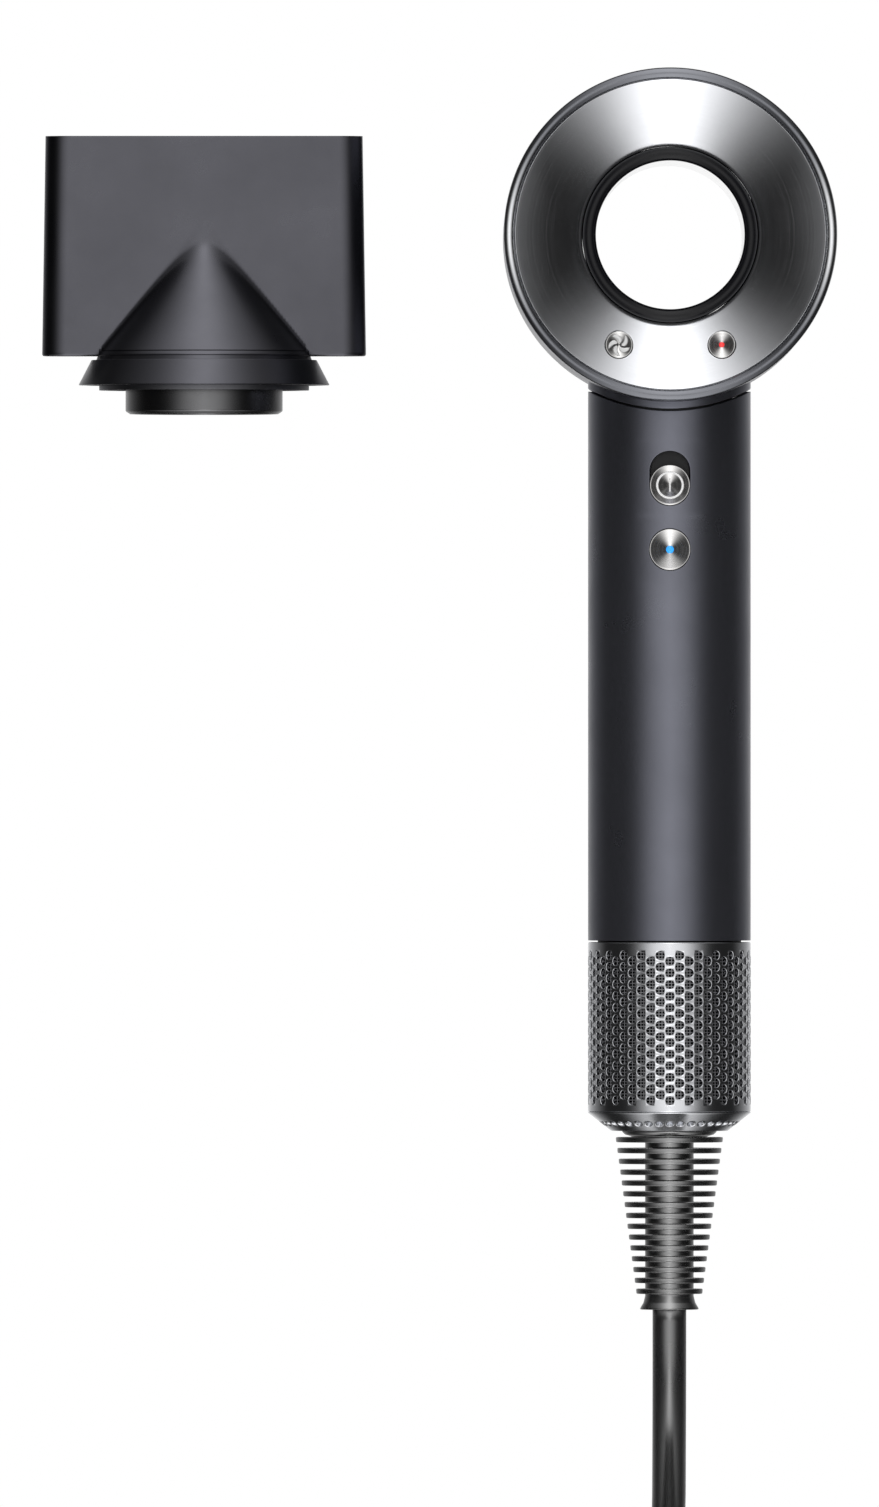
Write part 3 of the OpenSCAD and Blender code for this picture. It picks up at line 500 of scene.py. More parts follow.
def pattern(tree, group, **inputs):
    """Uses a pattern group in a material."""
    node = tree.nodes.new("ShaderNodeGroup")
    node.node_tree = group
    for name, value in inputs.items():
        node.inputs[name].default_value = value
    return node.outputs


print("pattern groups:", [g.name for g in bpy.data.node_groups])

# %% [markdown]
# ## Materials
#
# `finish` makes a material from a colour, how metallic and how rough it is, and how deep its grain
# is. Smudges move the roughness and the colour a little. Turned metal adds its rings and spreads
# its reflections across them. The grip's shell looks like metal but is moulded and painted with a
# metallic slate lacquer, which is why it's treated as a dark metal.


# %% Materials
def finish(name, colour, metallic, roughness, grain=0.002, size=4000.0, spread=0.04, tint=0.94, turned=None,
           stretch=0.0, tilt=0.0, coat=0.0, ior=1.5, glow=0.0):
    """A material with grain in its surface, and smudges in its colour and roughness. grain is in
    millimetres. turned is the centre and axis of turned lines, stretch how far they spread, and
    tilt how much the cutting tool dished the face."""
    material = bpy.data.materials.new(name)
    material.use_nodes = True
    tree = material.node_tree
    tree.nodes.clear()
    smudge = pattern(tree, SMUDGE)["Value"]
    fine = pattern(tree, GRAIN, Scale=size)["Value"]
    dark = [c * tint for c in colour]
    mixed = add(tree, "Mix", {0: smudge, 6: (*dark, 1), 7: (*colour, 1)}, data_type="RGBA").outputs[2]
    inputs = {
        "Base Color": mixed, "Metallic": metallic, "IOR": ior, "Coat Weight": coat, "Coat Roughness": 0.08,
        "Roughness": between(tree, smudge, roughness + spread, roughness - spread),
    }
    height, facing = fine, add(tree, "NewGeometry").outputs["Normal"]
    if turned:
        rings = pattern(tree, TURNED, Centre=[c * MM for c in turned[0]], Axis=turned[1])
        inputs |= {"Anisotropic": stretch, "Tangent": rings["Across"]}
        height = maths(tree, "ADD", fine, rings["Lines"])
        facing = vector_maths(tree, "ADD", facing, vector_maths(tree, "SCALE", rings["Across"], scale=-tilt))
        inputs["Roughness"] = maths(
            tree, "ADD", inputs["Roughness"], between(tree, rings["Lines"], -spread, spread))
    if glow:
        inputs |= {"Emission Color": (*colour, 1), "Emission Strength": glow}
    bump = {"Height": height, "Distance": grain * MM, "Strength": 1.0,
            "Normal": vector_maths(tree, "NORMALIZE", facing)}
    inputs["Normal"] = add(tree, "Bump", bump).outputs[0]
    shader = add(tree, "BsdfPrincipled", inputs)
    tree.links.new(shader.outputs[0], add(tree, "OutputMaterial").inputs[0])
    return material


def woven(name, thread, gap, radius, pitch, metallic, roughness, depth):
    """A woven cloth or wire mesh: bright threads over dark gaps, with the threads raised."""
    material = finish(name, thread, metallic, roughness)
    tree = material.node_tree
    threads = pattern(tree, WEAVE, Radius=radius * MM, Pitch=pitch * MM)["Thread"]
    shader = next(n for n in tree.nodes if n.type == "BSDF_PRINCIPLED")
    colours = {0: threads, 6: (*gap, 1), 7: (*thread, 1)}
    tree.links.new(add(tree, "Mix", colours, data_type="RGBA").outputs[2], shader.inputs["Base Color"])
    bump = next(n for n in tree.nodes if n.type == "BUMP")
    bump.inputs["Distance"].default_value = depth * MM
    tree.links.new(threads, bump.inputs["Height"])
    return material


HEAD_AXIS = ((0, 0, HEAD_Z), (0, 1, 0))
FINISHES = {
    "satin_shell": finish("satin slate lacquer", (0.195, 0.2, 0.235), 0.88, 0.3, 0.0006),
    "satin_nozzle": finish("satin dark lacquer", (0.114, 0.114, 0.129), 1.0, 0.3, 0.0008),
    "bright_nickel": finish(
        "turned nickel", (0.8, 0.81, 0.84), 1.0, 0.16, 0.0003, turned=HEAD_AXIS, stretch=0.6),
    "bright_cage": finish("bright nickel", (0.8, 0.81, 0.84), 1.0, 0.2, 0.0004),
    "spun_steel": finish("steel", (0.7, 0.7, 0.7), 1.0, 0.25, 0.0006),
    "gloss_black": finish("gloss black", (0.006, 0.006, 0.008), 0.0, 0.16, 0.0004, coat=1.0),
    "inner_black": finish("plain black", (0.012, 0.012, 0.013), 0.0, 0.5, 0.004, 2500.0),
    "soft_rubber": finish("soft rubber", (0.012, 0.012, 0.013), 0.0, 0.28, 0.002, 3000.0, ior=3.8),
    "cord_rubber": finish("cord sheath", (0.02, 0.02, 0.021), 0.0, 0.3, 0.003, 2500.0, ior=2.9),
    "tie_fabric": woven("woven strap", (0.05, 0.05, 0.055), (0.01, 0.01, 0.01), 28.0, 0.9, 0.0, 0.8, 0.15),
    "screw_steel": finish("plain steel", (0.55, 0.55, 0.56), 1.0, 0.3),
    "core_steel": finish("dark steel", (0.25, 0.25, 0.27), 1.0, 0.45),
    "bare_aluminium": finish("bare aluminium", (0.75, 0.76, 0.78), 1.0, 0.35),
    "winding_copper": finish("enamelled copper", (0.7, 0.28, 0.12), 1.0, 0.3, 0.02, 1500.0),
    "heater_wire": finish("heater wire", (0.45, 0.36, 0.28), 1.0, 0.4),
    "pin_brass": finish("plated pin", (0.75, 0.73, 0.66), 1.0, 0.22),
    "mica_board": finish("mica board", (0.42, 0.36, 0.24), 0.0, 0.6, 0.01, 900.0, tint=0.7),
    "white_plastic": finish("white plastic", (0.75, 0.75, 0.73), 0.0, 0.4),
    "circuit_green": finish("circuit board", (0.01, 0.09, 0.03), 0.0, 0.35, 0.004, tint=0.6, coat=0.5),
    "red_wire": finish("wire sheath", (0.45, 0.02, 0.015), 0.0, 0.4),
    "red_lens": finish("red lens", (0.8, 0.02, 0.02), 0.0, 0.15, coat=1.0, glow=0.6),
    "blue_lens": finish("blue lens", (0.0, 0.32, 0.9), 0.0, 0.15, coat=1.0, glow=0.7),
    "foam_grey": finish("foam", (0.06, 0.06, 0.062), 0.0, 0.95, 0.3, 1200.0, tint=0.4),
    "fine_mesh": woven(
        "fine wire mesh", (0.5, 0.5, 0.52), (0.004, 0.004, 0.005), 18.0, 0.72, 0.9, 0.4, 0.06),
}


def paint(obj, material):
    """Gives an object one material."""
    obj.data.materials.clear()
    obj.data.materials.append(material)
    return obj


node_slots = {part["node"]: part["material_slot"] for part in frame["record"]["subparts"]}
for node_name, node_object in frame["nodes"].items():
    paint(node_object, FINISHES[node_slots[node_name]])
paint(cord, FINISHES["cord_rubber"])
print("materials:", len(bpy.data.materials))

# %% [markdown]
# ## Head
#
# The head's shell is a turned barrel with a small skirt under it, the saddle, that ends in an arc
# just above the grip. Its rear edge carries a rolled bright rim, with a highlight painted into its
# colour at the head's two sides. Inside the rim a concave funnel leads air and eye to the open
# middle, and ends at the black rolled lip of the air tube, which runs right through. At the front,
# a ring-shaped slot lets the hot air out.


# %% Head shell, rim and saddle
def arc_points(centre, r, start, end, steps):
    """Points on part of a circle, from one angle to another, in degrees."""
    a = np.radians(np.linspace(start, end, steps + 1))
    return np.stack((centre[0] + r * np.cos(a), centre[1] + r * np.sin(a)), -1)


HEAD_CENTRE = (0, 0, HEAD_Z)
shell_profile = rounded(
    [[HEAD_R, RIM_Y + 0.35], [HEAD_R, RING_Y], [HEAD_IN_R, RING_Y], [HEAD_IN_R, RIM_Y + 1.4],
     [HEAD_R - 2.5, RIM_Y + 1.4], [HEAD_R - 2.5, RIM_Y + 0.35]], 0.12)
head_shell = piece("head_barrel", turned(shell_profile, 240, "Y", HEAD_CENTRE), "handle",
                   ("head_shell",))
paint(finish_edges(head_shell), FINISHES["satin_shell"])

rim_profile = np.vstack((
    arc_points((RIM_R, RIM_Y), RIM_ROUND, 180, 360, 16),
    [[HEAD_R, RIM_Y + 0.3], [RIM_R - RIM_ROUND, RIM_Y + 0.3]]))
rear_rim = piece("rear_rim", turned(rim_profile, 240, "Y", HEAD_CENTRE), "handle")


def make_rim_painted_highlight():
    """A painted highlight: the rim's base colour is made lighter at the two sides of the head than above and
    below.
    """
    material = finish("rolled rim", (0.3, 0.305, 0.33), 1.0, 0.24, 0.0004, turned=HEAD_AXIS, stretch=0.5)
    tree = material.node_tree
    place = vector_maths(tree, "SUBTRACT", add(tree, "TexCoord").outputs["Object"], (0, 0, HEAD_Z * MM))
    split = add(tree, "SeparateXYZ", {0: place}).outputs
    # side is the painted highlight's mask: 1 at the head's left and right, falling off towards top and
    # bottom; it mixes the base colour from dark slate up to near white.
    turn = maths(tree, "ARCTAN2", maths(tree, "ABSOLUTE", split[2]), maths(tree, "ABSOLUTE", split[0]))
    side = maths(tree, "EXPONENT", maths(tree, "MULTIPLY", maths(tree, "POWER", turn, 2.0), -8.0))
    colours = {0: side, 6: (0.2, 0.205, 0.225, 1), 7: (0.95, 0.96, 0.98, 1)}
    shader = next(n for n in tree.nodes if n.type == "BSDF_PRINCIPLED")
    tree.links.new(add(tree, "Mix", colours, data_type="RGBA").outputs[2], shader.inputs["Base Color"])
    return material


paint(rear_rim, make_rim_painted_highlight())


def wrapped_round_head(profile, sides):
    """Points of a wall that stands on the grip's circle and is cut by circles about the head's
    axis. A profile point is (distance from the grip's axis, distance from the head's axis)."""
    p = np.array(profile, float)
    a = np.linspace(0, 2 * np.pi, sides, endpoint=False)[None]
    x, y = p[:, :1] * np.sin(a), -p[:, :1] * np.cos(a)
    z = HEAD_Z - np.sqrt(p[:, 1:] ** 2 - x**2)
    faces = [grid_faces(len(p), sides, wrap_rows=True, wrap_cols=True)]
    return np.stack((x, y, z), -1).reshape(-1, 3), faces


SADDLE_ROOT, SADDLE_BORE = 38.4, 17.95
saddle_profile = rounded(
    [[HANDLE_R, SADDLE_ROOT], [HANDLE_R, SADDLE_R], [SADDLE_BORE, SADDLE_R], [SADDLE_BORE, SADDLE_ROOT]],
    [0.1, 0.3, 0.1, 0.1])
saddle = piece("head_saddle", wrapped_round_head(saddle_profile, SEGMENTS), "handle")
paint(finish_edges(saddle), FINISHES["satin_shell"])

# %% Rear funnel
HOLE_STEPS = (0.3, 0.55, 0.75, 0.88, 0.95, 1.0)
button_turn = math.atan2(-FACE_DROP, FACE_X)
inner = np.linspace(-math.pi - button_turn, button_turn, 35)[:-1]
outer = np.linspace(button_turn, math.pi - button_turn, 207)[:-1]
turns = np.roll(np.concatenate((inner, outer)), 20)
radii = np.linspace(LIP_OUT_R, FUNNEL_R, 17)
funnel_grid = np.stack(np.broadcast_arrays(
    radii[:, None] * np.cos(turns), radii[:, None] * np.sin(turns)), -1)
AIRFLOW_COLUMN, HEAT_COLUMN = 20, 54
funnel_holes = [
    (2, 14, column - 8, column + 8, np.array([side * FACE_X, -FACE_DROP]), 0.0, FACE_R + SLIP)
    for side, column in ((-1, AIRFLOW_COLUMN), (1, HEAT_COLUMN))
]
places, faces = holed_grid(funnel_grid, funnel_holes, HOLE_STEPS)
funnel_y = funnel_height(np.linalg.norm(places, axis=1))
funnel_points = np.stack((places[:, 0], funnel_y, places[:, 1] + HEAD_Z), -1)
funnel = piece("funnel_dish", (funnel_points, faces), "handle", ("rear_funnel",),
               (0, -1, 0))
paint(finish_edges(funnel, 1.2, 0.15), FINISHES["bright_nickel"])

# %% Air tube and front ring
lip = arc_points((HOLE_R + 1.6, LIP_Y), 1.6, 180, 360, 20)
tube_back = rounded(
    [[LIP_OUT_R - 0.05, LIP_Y + 1], [TUBE_R, LIP_Y + 2.6], [TUBE_R, SEAT_Y - 5], [SLOT_IN_R, SEAT_Y - 2],
     [SLOT_IN_R, FRONT_Y], [SEAT_R, FRONT_Y], [SEAT_R, SEAT_Y], [HOLE_R, SEAT_Y - 1.5]],
    [0, 0.5, 2, 2, 0.4, 0.4, 0.3, 0.4])
tube_back = tube_back[np.argmin(np.abs(tube_back - [LIP_OUT_R - 0.05, LIP_Y + 1]).sum(1)) :]
air_tube = piece("air_duct", turned(np.vstack((lip, tube_back)), 200, "Y", HEAD_CENTRE), "handle",
                 ("air_tube",))
paint(finish_edges(air_tube), FINISHES["gloss_black"])
air_tube.data.materials.append(finish("lip black", (0.006, 0.006, 0.008), 0.0, 0.25, 0.0004, ior=1.35))
middles = np.empty(3 * len(air_tube.data.polygons))
air_tube.data.polygons.foreach_get("center", middles)
on_lip = middles.reshape(-1, 3)[:, 1] < LIP_Y * MM
air_tube.data.polygons.foreach_set("material_index", on_lip.astype(np.int32))
print("faces on the lip", on_lip.sum(), "of", len(on_lip))

shoulder = arc_points((HEAD_R - 8, FRONT_Y - 8), 8, 0, 80, 14)
ring_inside = rounded(
    [[RECESS_R, FRONT_Y], [RECESS_R, FRONT_Y - 1], [SLOT_OUT_R, FRONT_Y - 1], [SLOT_OUT_R, FRONT_Y - 11],
     [SLOT_OUT_R + 1.5, FRONT_Y - 11], [SLOT_OUT_R + 1.5, FRONT_Y - 3.2], [HEAD_IN_R - 1.2, FRONT_Y - 7],
     [HEAD_IN_R - 1.2, RING_Y - 5], [HEAD_IN_R - 0.1, RING_Y - 5], [HEAD_IN_R - 0.1, RING_Y],
     [HEAD_R, RING_Y]],
    [0.3, 0.2, 0.4, 0.2, 0.2, 0.5, 0.5, 0.2, 0.2, 0.1, 0.05])
front = piece("front_bezel", turned(np.vstack((shoulder, ring_inside)), 240, "Y", HEAD_CENTRE), "handle",
              ("front_ring",))
paint(finish_edges(front), FINISHES["satin_shell"])

# %% [markdown]
# ## Grip
#
# The grip is a thin tube. Its top edge follows the head's curve, half a millimetre below the
# saddle, and its front has a slot for the power slider and a hole for the cold-shot button. The
# wall is flattened out first: across is the way round, up is the height. The holes are cut in the
# flat grid, and the grid is then rolled up.

# %% Grip
BLOCK = 8.0
BLOCKS_TOP = 73.8
SLOT_Z, SLOT_HALF = 65.1, 1.6
rows = np.concatenate((
    np.linspace(HANDLE_LOW, COLD_Z - BLOCK, 24)[:-1],
    np.linspace(COLD_Z - BLOCK, COLD_Z + BLOCK, 17)[:-1],
    np.linspace(COLD_Z + BLOCK, BLOCKS_TOP, 17)))
half_way = math.pi * HANDLE_R
columns = np.concatenate((np.linspace(-half_way, -BLOCK, 53)[:-1], np.linspace(-BLOCK, BLOCK, 17)[:-1],
                          np.linspace(BLOCK, half_way, 53)[:-1]))
top = HEAD_Z - np.sqrt(HANDLE_TOP_R**2 - (HANDLE_R * np.sin(columns / HANDLE_R)) ** 2)
share = np.linspace(0, 1, 9)[1:, None]
upper = BLOCKS_TOP + (top - BLOCKS_TOP) * share
heights = np.vstack((np.broadcast_to(rows[:, None], (len(rows), len(columns))), upper))
grip_grid = np.stack((np.broadcast_to(columns, heights.shape), heights), -1)
cold_row, slot_row, left = 23, 39, 52
grip_holes = [
    (cold_row, cold_row + 16, left, left + 16, np.array([0, COLD_Z]), 0.0, COLD_R + SLIP),
    (slot_row, slot_row + 16, left, left + 16, np.array([0, SLOT_Z]), SLOT_HALF, SLIDER_R + SLIP),
]
places, faces = holed_grid(grip_grid, grip_holes, HOLE_STEPS)
turn = places[:, 0] / HANDLE_R
grip_points = np.stack((HANDLE_R * np.sin(turn), -HANDLE_R * np.cos(turn), places[:, 1]), -1)
grip = piece("grip_shell", (grip_points, faces), "handle", ("handle_shell",))
paint(finish_edges(grip, HANDLE_WALL, 0.22), FINISHES["satin_shell"])

# %% [markdown]
# ## Controls
#
# Four controls have turned steel faces: the power slider, the cold-shot button under it, and the
# airflow and heat buttons on the rear funnel. Each face is turned round its own middle, so each
# has its own bow-tie of light. The symbols are plain ones: a ring with a bar for power, a small
# fan for airflow, and coloured dots for cold and heat.


# %% Controls
STEM_R = 1.5


def steel_cap(name, node, x, z, r, face_y, flange, body, turned_name):
    """A turned steel cap on its stem. flange is (radius, near side, far side, stem's end), and
    a cap without a flange stops at its far side."""
    flange_r, near, far, end = flange
    corners = [[0, face_y], [r, face_y], [r, near], [flange_r, near],
               [flange_r, far], [STEM_R, far], [STEM_R, end], [0, end]]
    bends = [0, 0.35, 0.05, 0.1, 0.1, 0.1, 0.2, 0]
    profile = rounded(corners, bends, 5)
    inner_face = np.linspace(0, r - 0.5, 9)[1:, None]
    dish = np.hstack((inner_face, np.full_like(inner_face, face_y)))
    outer_part = profile[profile[:, 0] > r - 0.45] if flange_r == r else profile[profile[:, 0] > 1.4]
    profile = np.vstack(([[0, face_y]], dish, outer_part, [[0, end]]))
    cap = piece(name, turned(profile, 96, "Y", (x, 0, z)), body, (node,))
    look = finish(turned_name, (0.72, 0.71, 0.7), 1.0, 0.25, 0.0012, spread=0.05,
                  turned=((x, 0, z), (0, 1, 0)), stretch=0.7, tilt=0.6)
    return paint(finish_edges(cap), look)


def face_of(node):
    """The CAD node's nearest place to the viewer, in millimetres."""
    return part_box(node)[0].y / MM


def depth_of(node):
    """The CAD node's farthest place from the viewer, in millimetres."""
    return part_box(node)[1].y / MM


FACE_Z = HEAD_Z - FACE_DROP
GRIP_FACE = -HANDLE_R - 0.5
face_y = face_of("airflow_button")
flange_y = float(funnel_height(math.hypot(FACE_X, FACE_DROP) - FACE_R - 1)) + 2.0
face_flange = (FACE_R + 1, flange_y, flange_y + 1, depth_of("airflow_button"))
steel_cap("airflow_cap", "airflow_button", -FACE_X, FACE_Z, FACE_R, face_y, face_flange, "airflow_key",
          "spun airflow cap")
steel_cap("heat_cap", "heat_button", FACE_X, FACE_Z, FACE_R, face_y, face_flange, "heat_key",
          "spun heat cap")
cold_flange = (COLD_R + 1.1, -16.1, -15.1, depth_of("cold_shot_button"))
steel_cap("cold_cap", "cold_shot_button", 0, COLD_Z, COLD_R, GRIP_FACE, cold_flange, "cold_shot",
          "spun cold cap")
slider_end = depth_of("power_slider")
slider_flange = (SLIDER_R, slider_end - 0.6, slider_end, slider_end)
steel_cap("slider_cap", "power_slider", 0, SLIDER_Z, SLIDER_R, GRIP_FACE, slider_flange, "power_switch",
          "spun slider cap")


def lens(name, node, x, z, r, face, body, slot):
    """A small domed lens: half of a flat-bottomed bead."""
    a = np.linspace(0, np.pi / 2, 9)
    dome = np.stack((r * np.sin(a), face - 0.12 + 0.3 * (1 - np.cos(a))), -1)
    profile = np.vstack((dome, [[r, face + 0.5], [0, face + 0.5]]))
    return paint(piece(name, turned(profile, 40, "Y", (x, 0, z)), body, (node,)), FINISHES[slot])


lens("heat_dot", "heat_lens", FACE_X, FACE_Z, 0.8, face_y, "heat_key", "red_lens")
lens("cold_dot", "cold_lens", 0, COLD_Z, 1.15, GRIP_FACE, "cold_shot", "blue_lens")

# The symbols' white enamel is given a faint glow, though no lamp lights it: painted light that brightens the
# marks.
symbol_white_glowing = finish("symbol enamel with painted glow", (0.9, 0.9, 0.9), 0.0, 0.3, glow=0.25)
RING_MARK_IN, RING_MARK_OUT = 2.75, 3.2
mark_near, mark_far = GRIP_FACE - 0.05, GRIP_FACE + 0.2
ring_profile = rounded(
    [[RING_MARK_IN, mark_near], [RING_MARK_OUT, mark_near], [RING_MARK_OUT, mark_far],
     [RING_MARK_IN, mark_far]], 0.05, 2)
power_ring = piece("power_ring", turned(ring_profile, 96, "Y", (0, 0, SLIDER_Z)), "power_switch")
paint(power_ring, symbol_white_glowing)
bar_rows = [(SLIDER_Z + 1.5 * t, 0.16 * w, 0.16 * w, 4)
            for t, w in ((-1, 0.5), (-0.96, 1), (0, 1), (0.96, 1), (1, 0.5))]
power_bar = piece("power_bar", loft(bar_rows, 16, (0, GRIP_FACE + 0.08)), "power_switch")
paint(power_bar, symbol_white_glowing)

BLADES = 5
t, across = np.meshgrid(np.linspace(0, 1, 12), np.linspace(-1, 1, 5), indexing="ij")
reach = 0.55 + 2.0 * t
sweep = 0.9 * t**1.5 + across * (0.30 + 0.16 * np.sin(np.pi * t)) * np.sqrt(1 - 0.86 * t**3)
fan_points, fan_faces = [], []
for blade in range(BLADES):
    a = sweep + blade * 2 * np.pi / BLADES
    grid = np.stack((
        reach * np.cos(a) - FACE_X, np.full_like(a, face_y - 0.03), reach * np.sin(a) + FACE_Z), -1)
    fan_faces.append(grid_faces(12, 5) + 60 * blade)
    fan_points.append(grid.reshape(-1, 3))
fan = piece("fan_symbol", (np.concatenate(fan_points), fan_faces), "airflow_key", (),
            (0, -1, 0))
paint(finish_edges(fan, 0.08), finish("fan enamel", (0.82, 0.82, 0.82), 0.4, 0.3))

# %% [markdown]
# ## Button springs
#
# A coil spring pushes each button out. It stands between the button's flange and a board.

# %% Button springs
PRESS_TRAVEL, SPRING_WIRE_R, SPRING_TURNS, SPRING_STEPS = 0.8, 0.25, 4, 161


def coil_spring(name, node):
    """A helix of wire that fills the CAD spring's own box, from its button's end to its fixed end.
    Its centreline goes round the box's middle while it moves along Y."""
    low, high = (np.array(corner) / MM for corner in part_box(node))
    middle, reach = (low + high) / 2, (high - low) / 2 - SPRING_WIRE_R
    turn = np.linspace(0, 2 * np.pi * SPRING_TURNS, SPRING_STEPS)
    line = middle + np.stack((
        reach[0] * np.cos(turn), np.linspace(-reach[1], reach[1], SPRING_STEPS),
        reach[2] * np.sin(turn)), -1)
    spring = piece(name, swept(line, SPRING_WIRE_R, 10), "handle", (node,))
    paint(spring, FINISHES["spun_steel"])
    length = high[1] - low[1]
    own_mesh(spring)
    return length


for node, joint in (("cold_spring", "cold_shot_press"), ("airflow_spring", "airflow_press"),
                    ("heat_spring", "heat_press")):
    print(node, "length", round(coil_spring(node.replace("spring", "coil"), node), 2), "mm")

# %% [markdown]
# ## Filter cage
#
# The cage is a bright sleeve with 52 upright columns of holes, 13 in each, and every other column
# stands half a step lower. One hole with its surroundings is a cell: a ring of 16 points on the
# hole, a soft edge, and 16 points on the cell's border. The whole pattern is that cell repeated,
# so all of its points are one sum of arrays. Plain bands close it above and below.

# %% Filter cage
CAGE_WALL = 0.8
CAGE_COLS, CAGE_ROWS, CAGE_PITCH = 52, 13, 2.72
CAGE_TOP, CAGE_SEAM = -43.7, -83.5
FIRST_HIGH = -46.74
CELL_W = 2 * math.pi * HANDLE_R / CAGE_COLS
HOLE_EDGE, HOLE_IN = 1.13, 1.03

step = np.arange(5) / 4 - 0.5
cell_side, cell_mid = step[:4], step[:4] * 0
border = np.concatenate((
    np.stack((cell_side, cell_mid - 0.5), -1), np.stack((cell_mid + 0.5, cell_side), -1),
    np.stack((-cell_side, cell_mid + 0.5), -1), np.stack((cell_mid - 0.5, -cell_side), -1)))
border = border * [CELL_W, CAGE_PITCH]
spoke = np.arctan2(border[:, 1], border[:, 0])
circle = np.stack((np.cos(spoke), np.sin(spoke)), -1)
cell = [(border, 0), (circle * HOLE_EDGE, 0), (circle * (HOLE_IN + 0.03), 0.06), (circle * HOLE_IN, 0.16),
        (circle * HOLE_IN, CAGE_WALL), (border, CAGE_WALL)]
cell_points = np.concatenate([np.hstack((p, np.full((16, 1), float(d)))) for p, d in cell])
cell_faces = grid_faces(len(cell), 16, wrap_cols=True)
column, level = (g.ravel() for g in np.meshgrid(np.arange(CAGE_COLS), np.arange(CAGE_ROWS), indexing="ij"))
low_column = column % 2 == 0
cell_at = np.stack((column * CELL_W, FIRST_HIGH - (level + low_column / 2) * CAGE_PITCH, 0 * column), -1)
cell_count = len(cell_points)
all_cells = (cell_at[:, None] + cell_points[None]).reshape(-1, 3)
all_faces = (cell_faces[None] + cell_count * np.arange(len(cell_at))[:, None, None]).reshape(-1, 4)


def plain_band(profile, parity, start):
    """A plain ring of the cage. Its profile of (depth, height) runs from the outside over an end
    to the inside. The first two and last two steps belong only to every other column."""
    p = np.array(profile, float)
    across = (np.arange(CAGE_COLS * 4) / 4 - 0.5) * CELL_W
    u, d = np.meshgrid(across, p[:, 0])
    v = np.broadcast_to(p[:, 1:], u.shape)
    quads = grid_faces(len(p), len(across), wrap_cols=True)
    row, col = quads[:, 0] // len(across), (quads[:, 0] % len(across)) // 4
    edge = (row < 2) | (row >= len(p) - 3)
    return np.stack((u, v, d), -1).reshape(-1, 3), quads[~edge | (col % 2 == parity)] + start


def over_end(open_at, half, end, sign):
    """A band's profile: up the outside in two half-cell steps, over a rounded end, and back."""
    up = [[0, open_at], [0, open_at + sign * half / 2], [0, open_at + sign * half], [0, end - sign * 0.3]]
    lip = [[0.05, end - sign * 0.1], [0.15, end - sign * 0.02], [0.25, end]]
    back = [[CAGE_WALL - d, z] for d, z in (lip[::-1] + up[::-1])]
    return up + lip + back


half = CAGE_PITCH / 2
last_low = FIRST_HIGH - (CAGE_ROWS - 0.5) * CAGE_PITCH
upper_band = plain_band(over_end(FIRST_HIGH, half, CAGE_TOP, 1), 0, len(all_cells))
lower_band = plain_band(over_end(last_low, half, CAGE_SEAM, -1), 1, len(all_cells) + len(upper_band[0]))
flat_cage = np.concatenate((all_cells, upper_band[0], lower_band[0]))
angle = flat_cage[:, 0] / HANDLE_R
out = HANDLE_R - flat_cage[:, 2]
cage_points = np.stack((out * np.sin(angle), -out * np.cos(angle), flat_cage[:, 1]), -1)
cage_faces = [all_faces, upper_band[1], lower_band[1]]
sleeve = piece("cage_sleeve", (cage_points, cage_faces), "filter", ("filter_cage",),
               merge=True)
paint(finish_edges(sleeve), FINISHES["bright_cage"])

# %% [markdown]
# The cage's lower end tapers in to the cord, and has one row of small finger notches. It's a turned
# ring whose taper is pushed in at each notch by a rounded, flat-bottomed hollow.

# %% Cage foot
NOTCHES, NOTCH_R, NOTCH_DEEP, NOTCH_Z = 39, 0.68, 0.9, -86.25
TAPER_END = (13.7, -88.0)
foot_profile = rounded(
    [[HANDLE_R, -83.56], [HANDLE_R, -83.75], TAPER_END, [13.1, -88.0], [13.1, -86.7],
     [18.2, -82.3], [18.3, -83.56]],
    [0.05, 0.2, 0.25, 0.15, 0.1, 0.1, 0.05])
slope = np.linspace(0.04, 0.96, 44)[:, None]
straight = np.array([[HANDLE_R, -83.75]]) * (1 - slope) + np.array([TAPER_END]) * slope
begin = int(np.argmax((foot_profile[:, 1] < -83.7) & (foot_profile[:, 0] < HANDLE_R - 0.01)))
stop = int(np.argmax(foot_profile[:, 1] < -87.6))
foot_profile = np.vstack((foot_profile[: begin + 3], straight[2:-2], foot_profile[stop:]))
foot_points, foot_faces = turned(foot_profile, NOTCHES * 10)
foot_angle = np.arctan2(foot_points[:, 0], -foot_points[:, 1])
gap = 2 * np.pi / NOTCHES
off = (foot_angle + gap / 2) % gap - gap / 2
far = np.hypot(off * np.hypot(foot_points[:, 0], foot_points[:, 1]), (foot_points[:, 2] - NOTCH_Z) * 1.35)
taper_r = HANDLE_R + (foot_points[:, 2] + 83.75) * 1.27
on_taper = np.abs(np.hypot(foot_points[:, 0], foot_points[:, 1]) - taper_r) < 0.3
push = np.where(on_taper, NOTCH_DEEP * np.exp(-((far / NOTCH_R) ** 6)), 0.0)
foot_points[:, :2] *= (1 - push / np.hypot(foot_points[:, 0], foot_points[:, 1]))[:, None]
foot = piece("cage_foot", (foot_points, foot_faces), "filter")
paint(finish_edges(foot), FINISHES["bright_cage"])

# %% [markdown]
# ## Strain relief
#
# Fifteen rubber fins in a row, each smaller than the last, keep the cord from bending sharply. The
# sleeve is turned from one long profile, whose corners are softened like moulded rubber's.

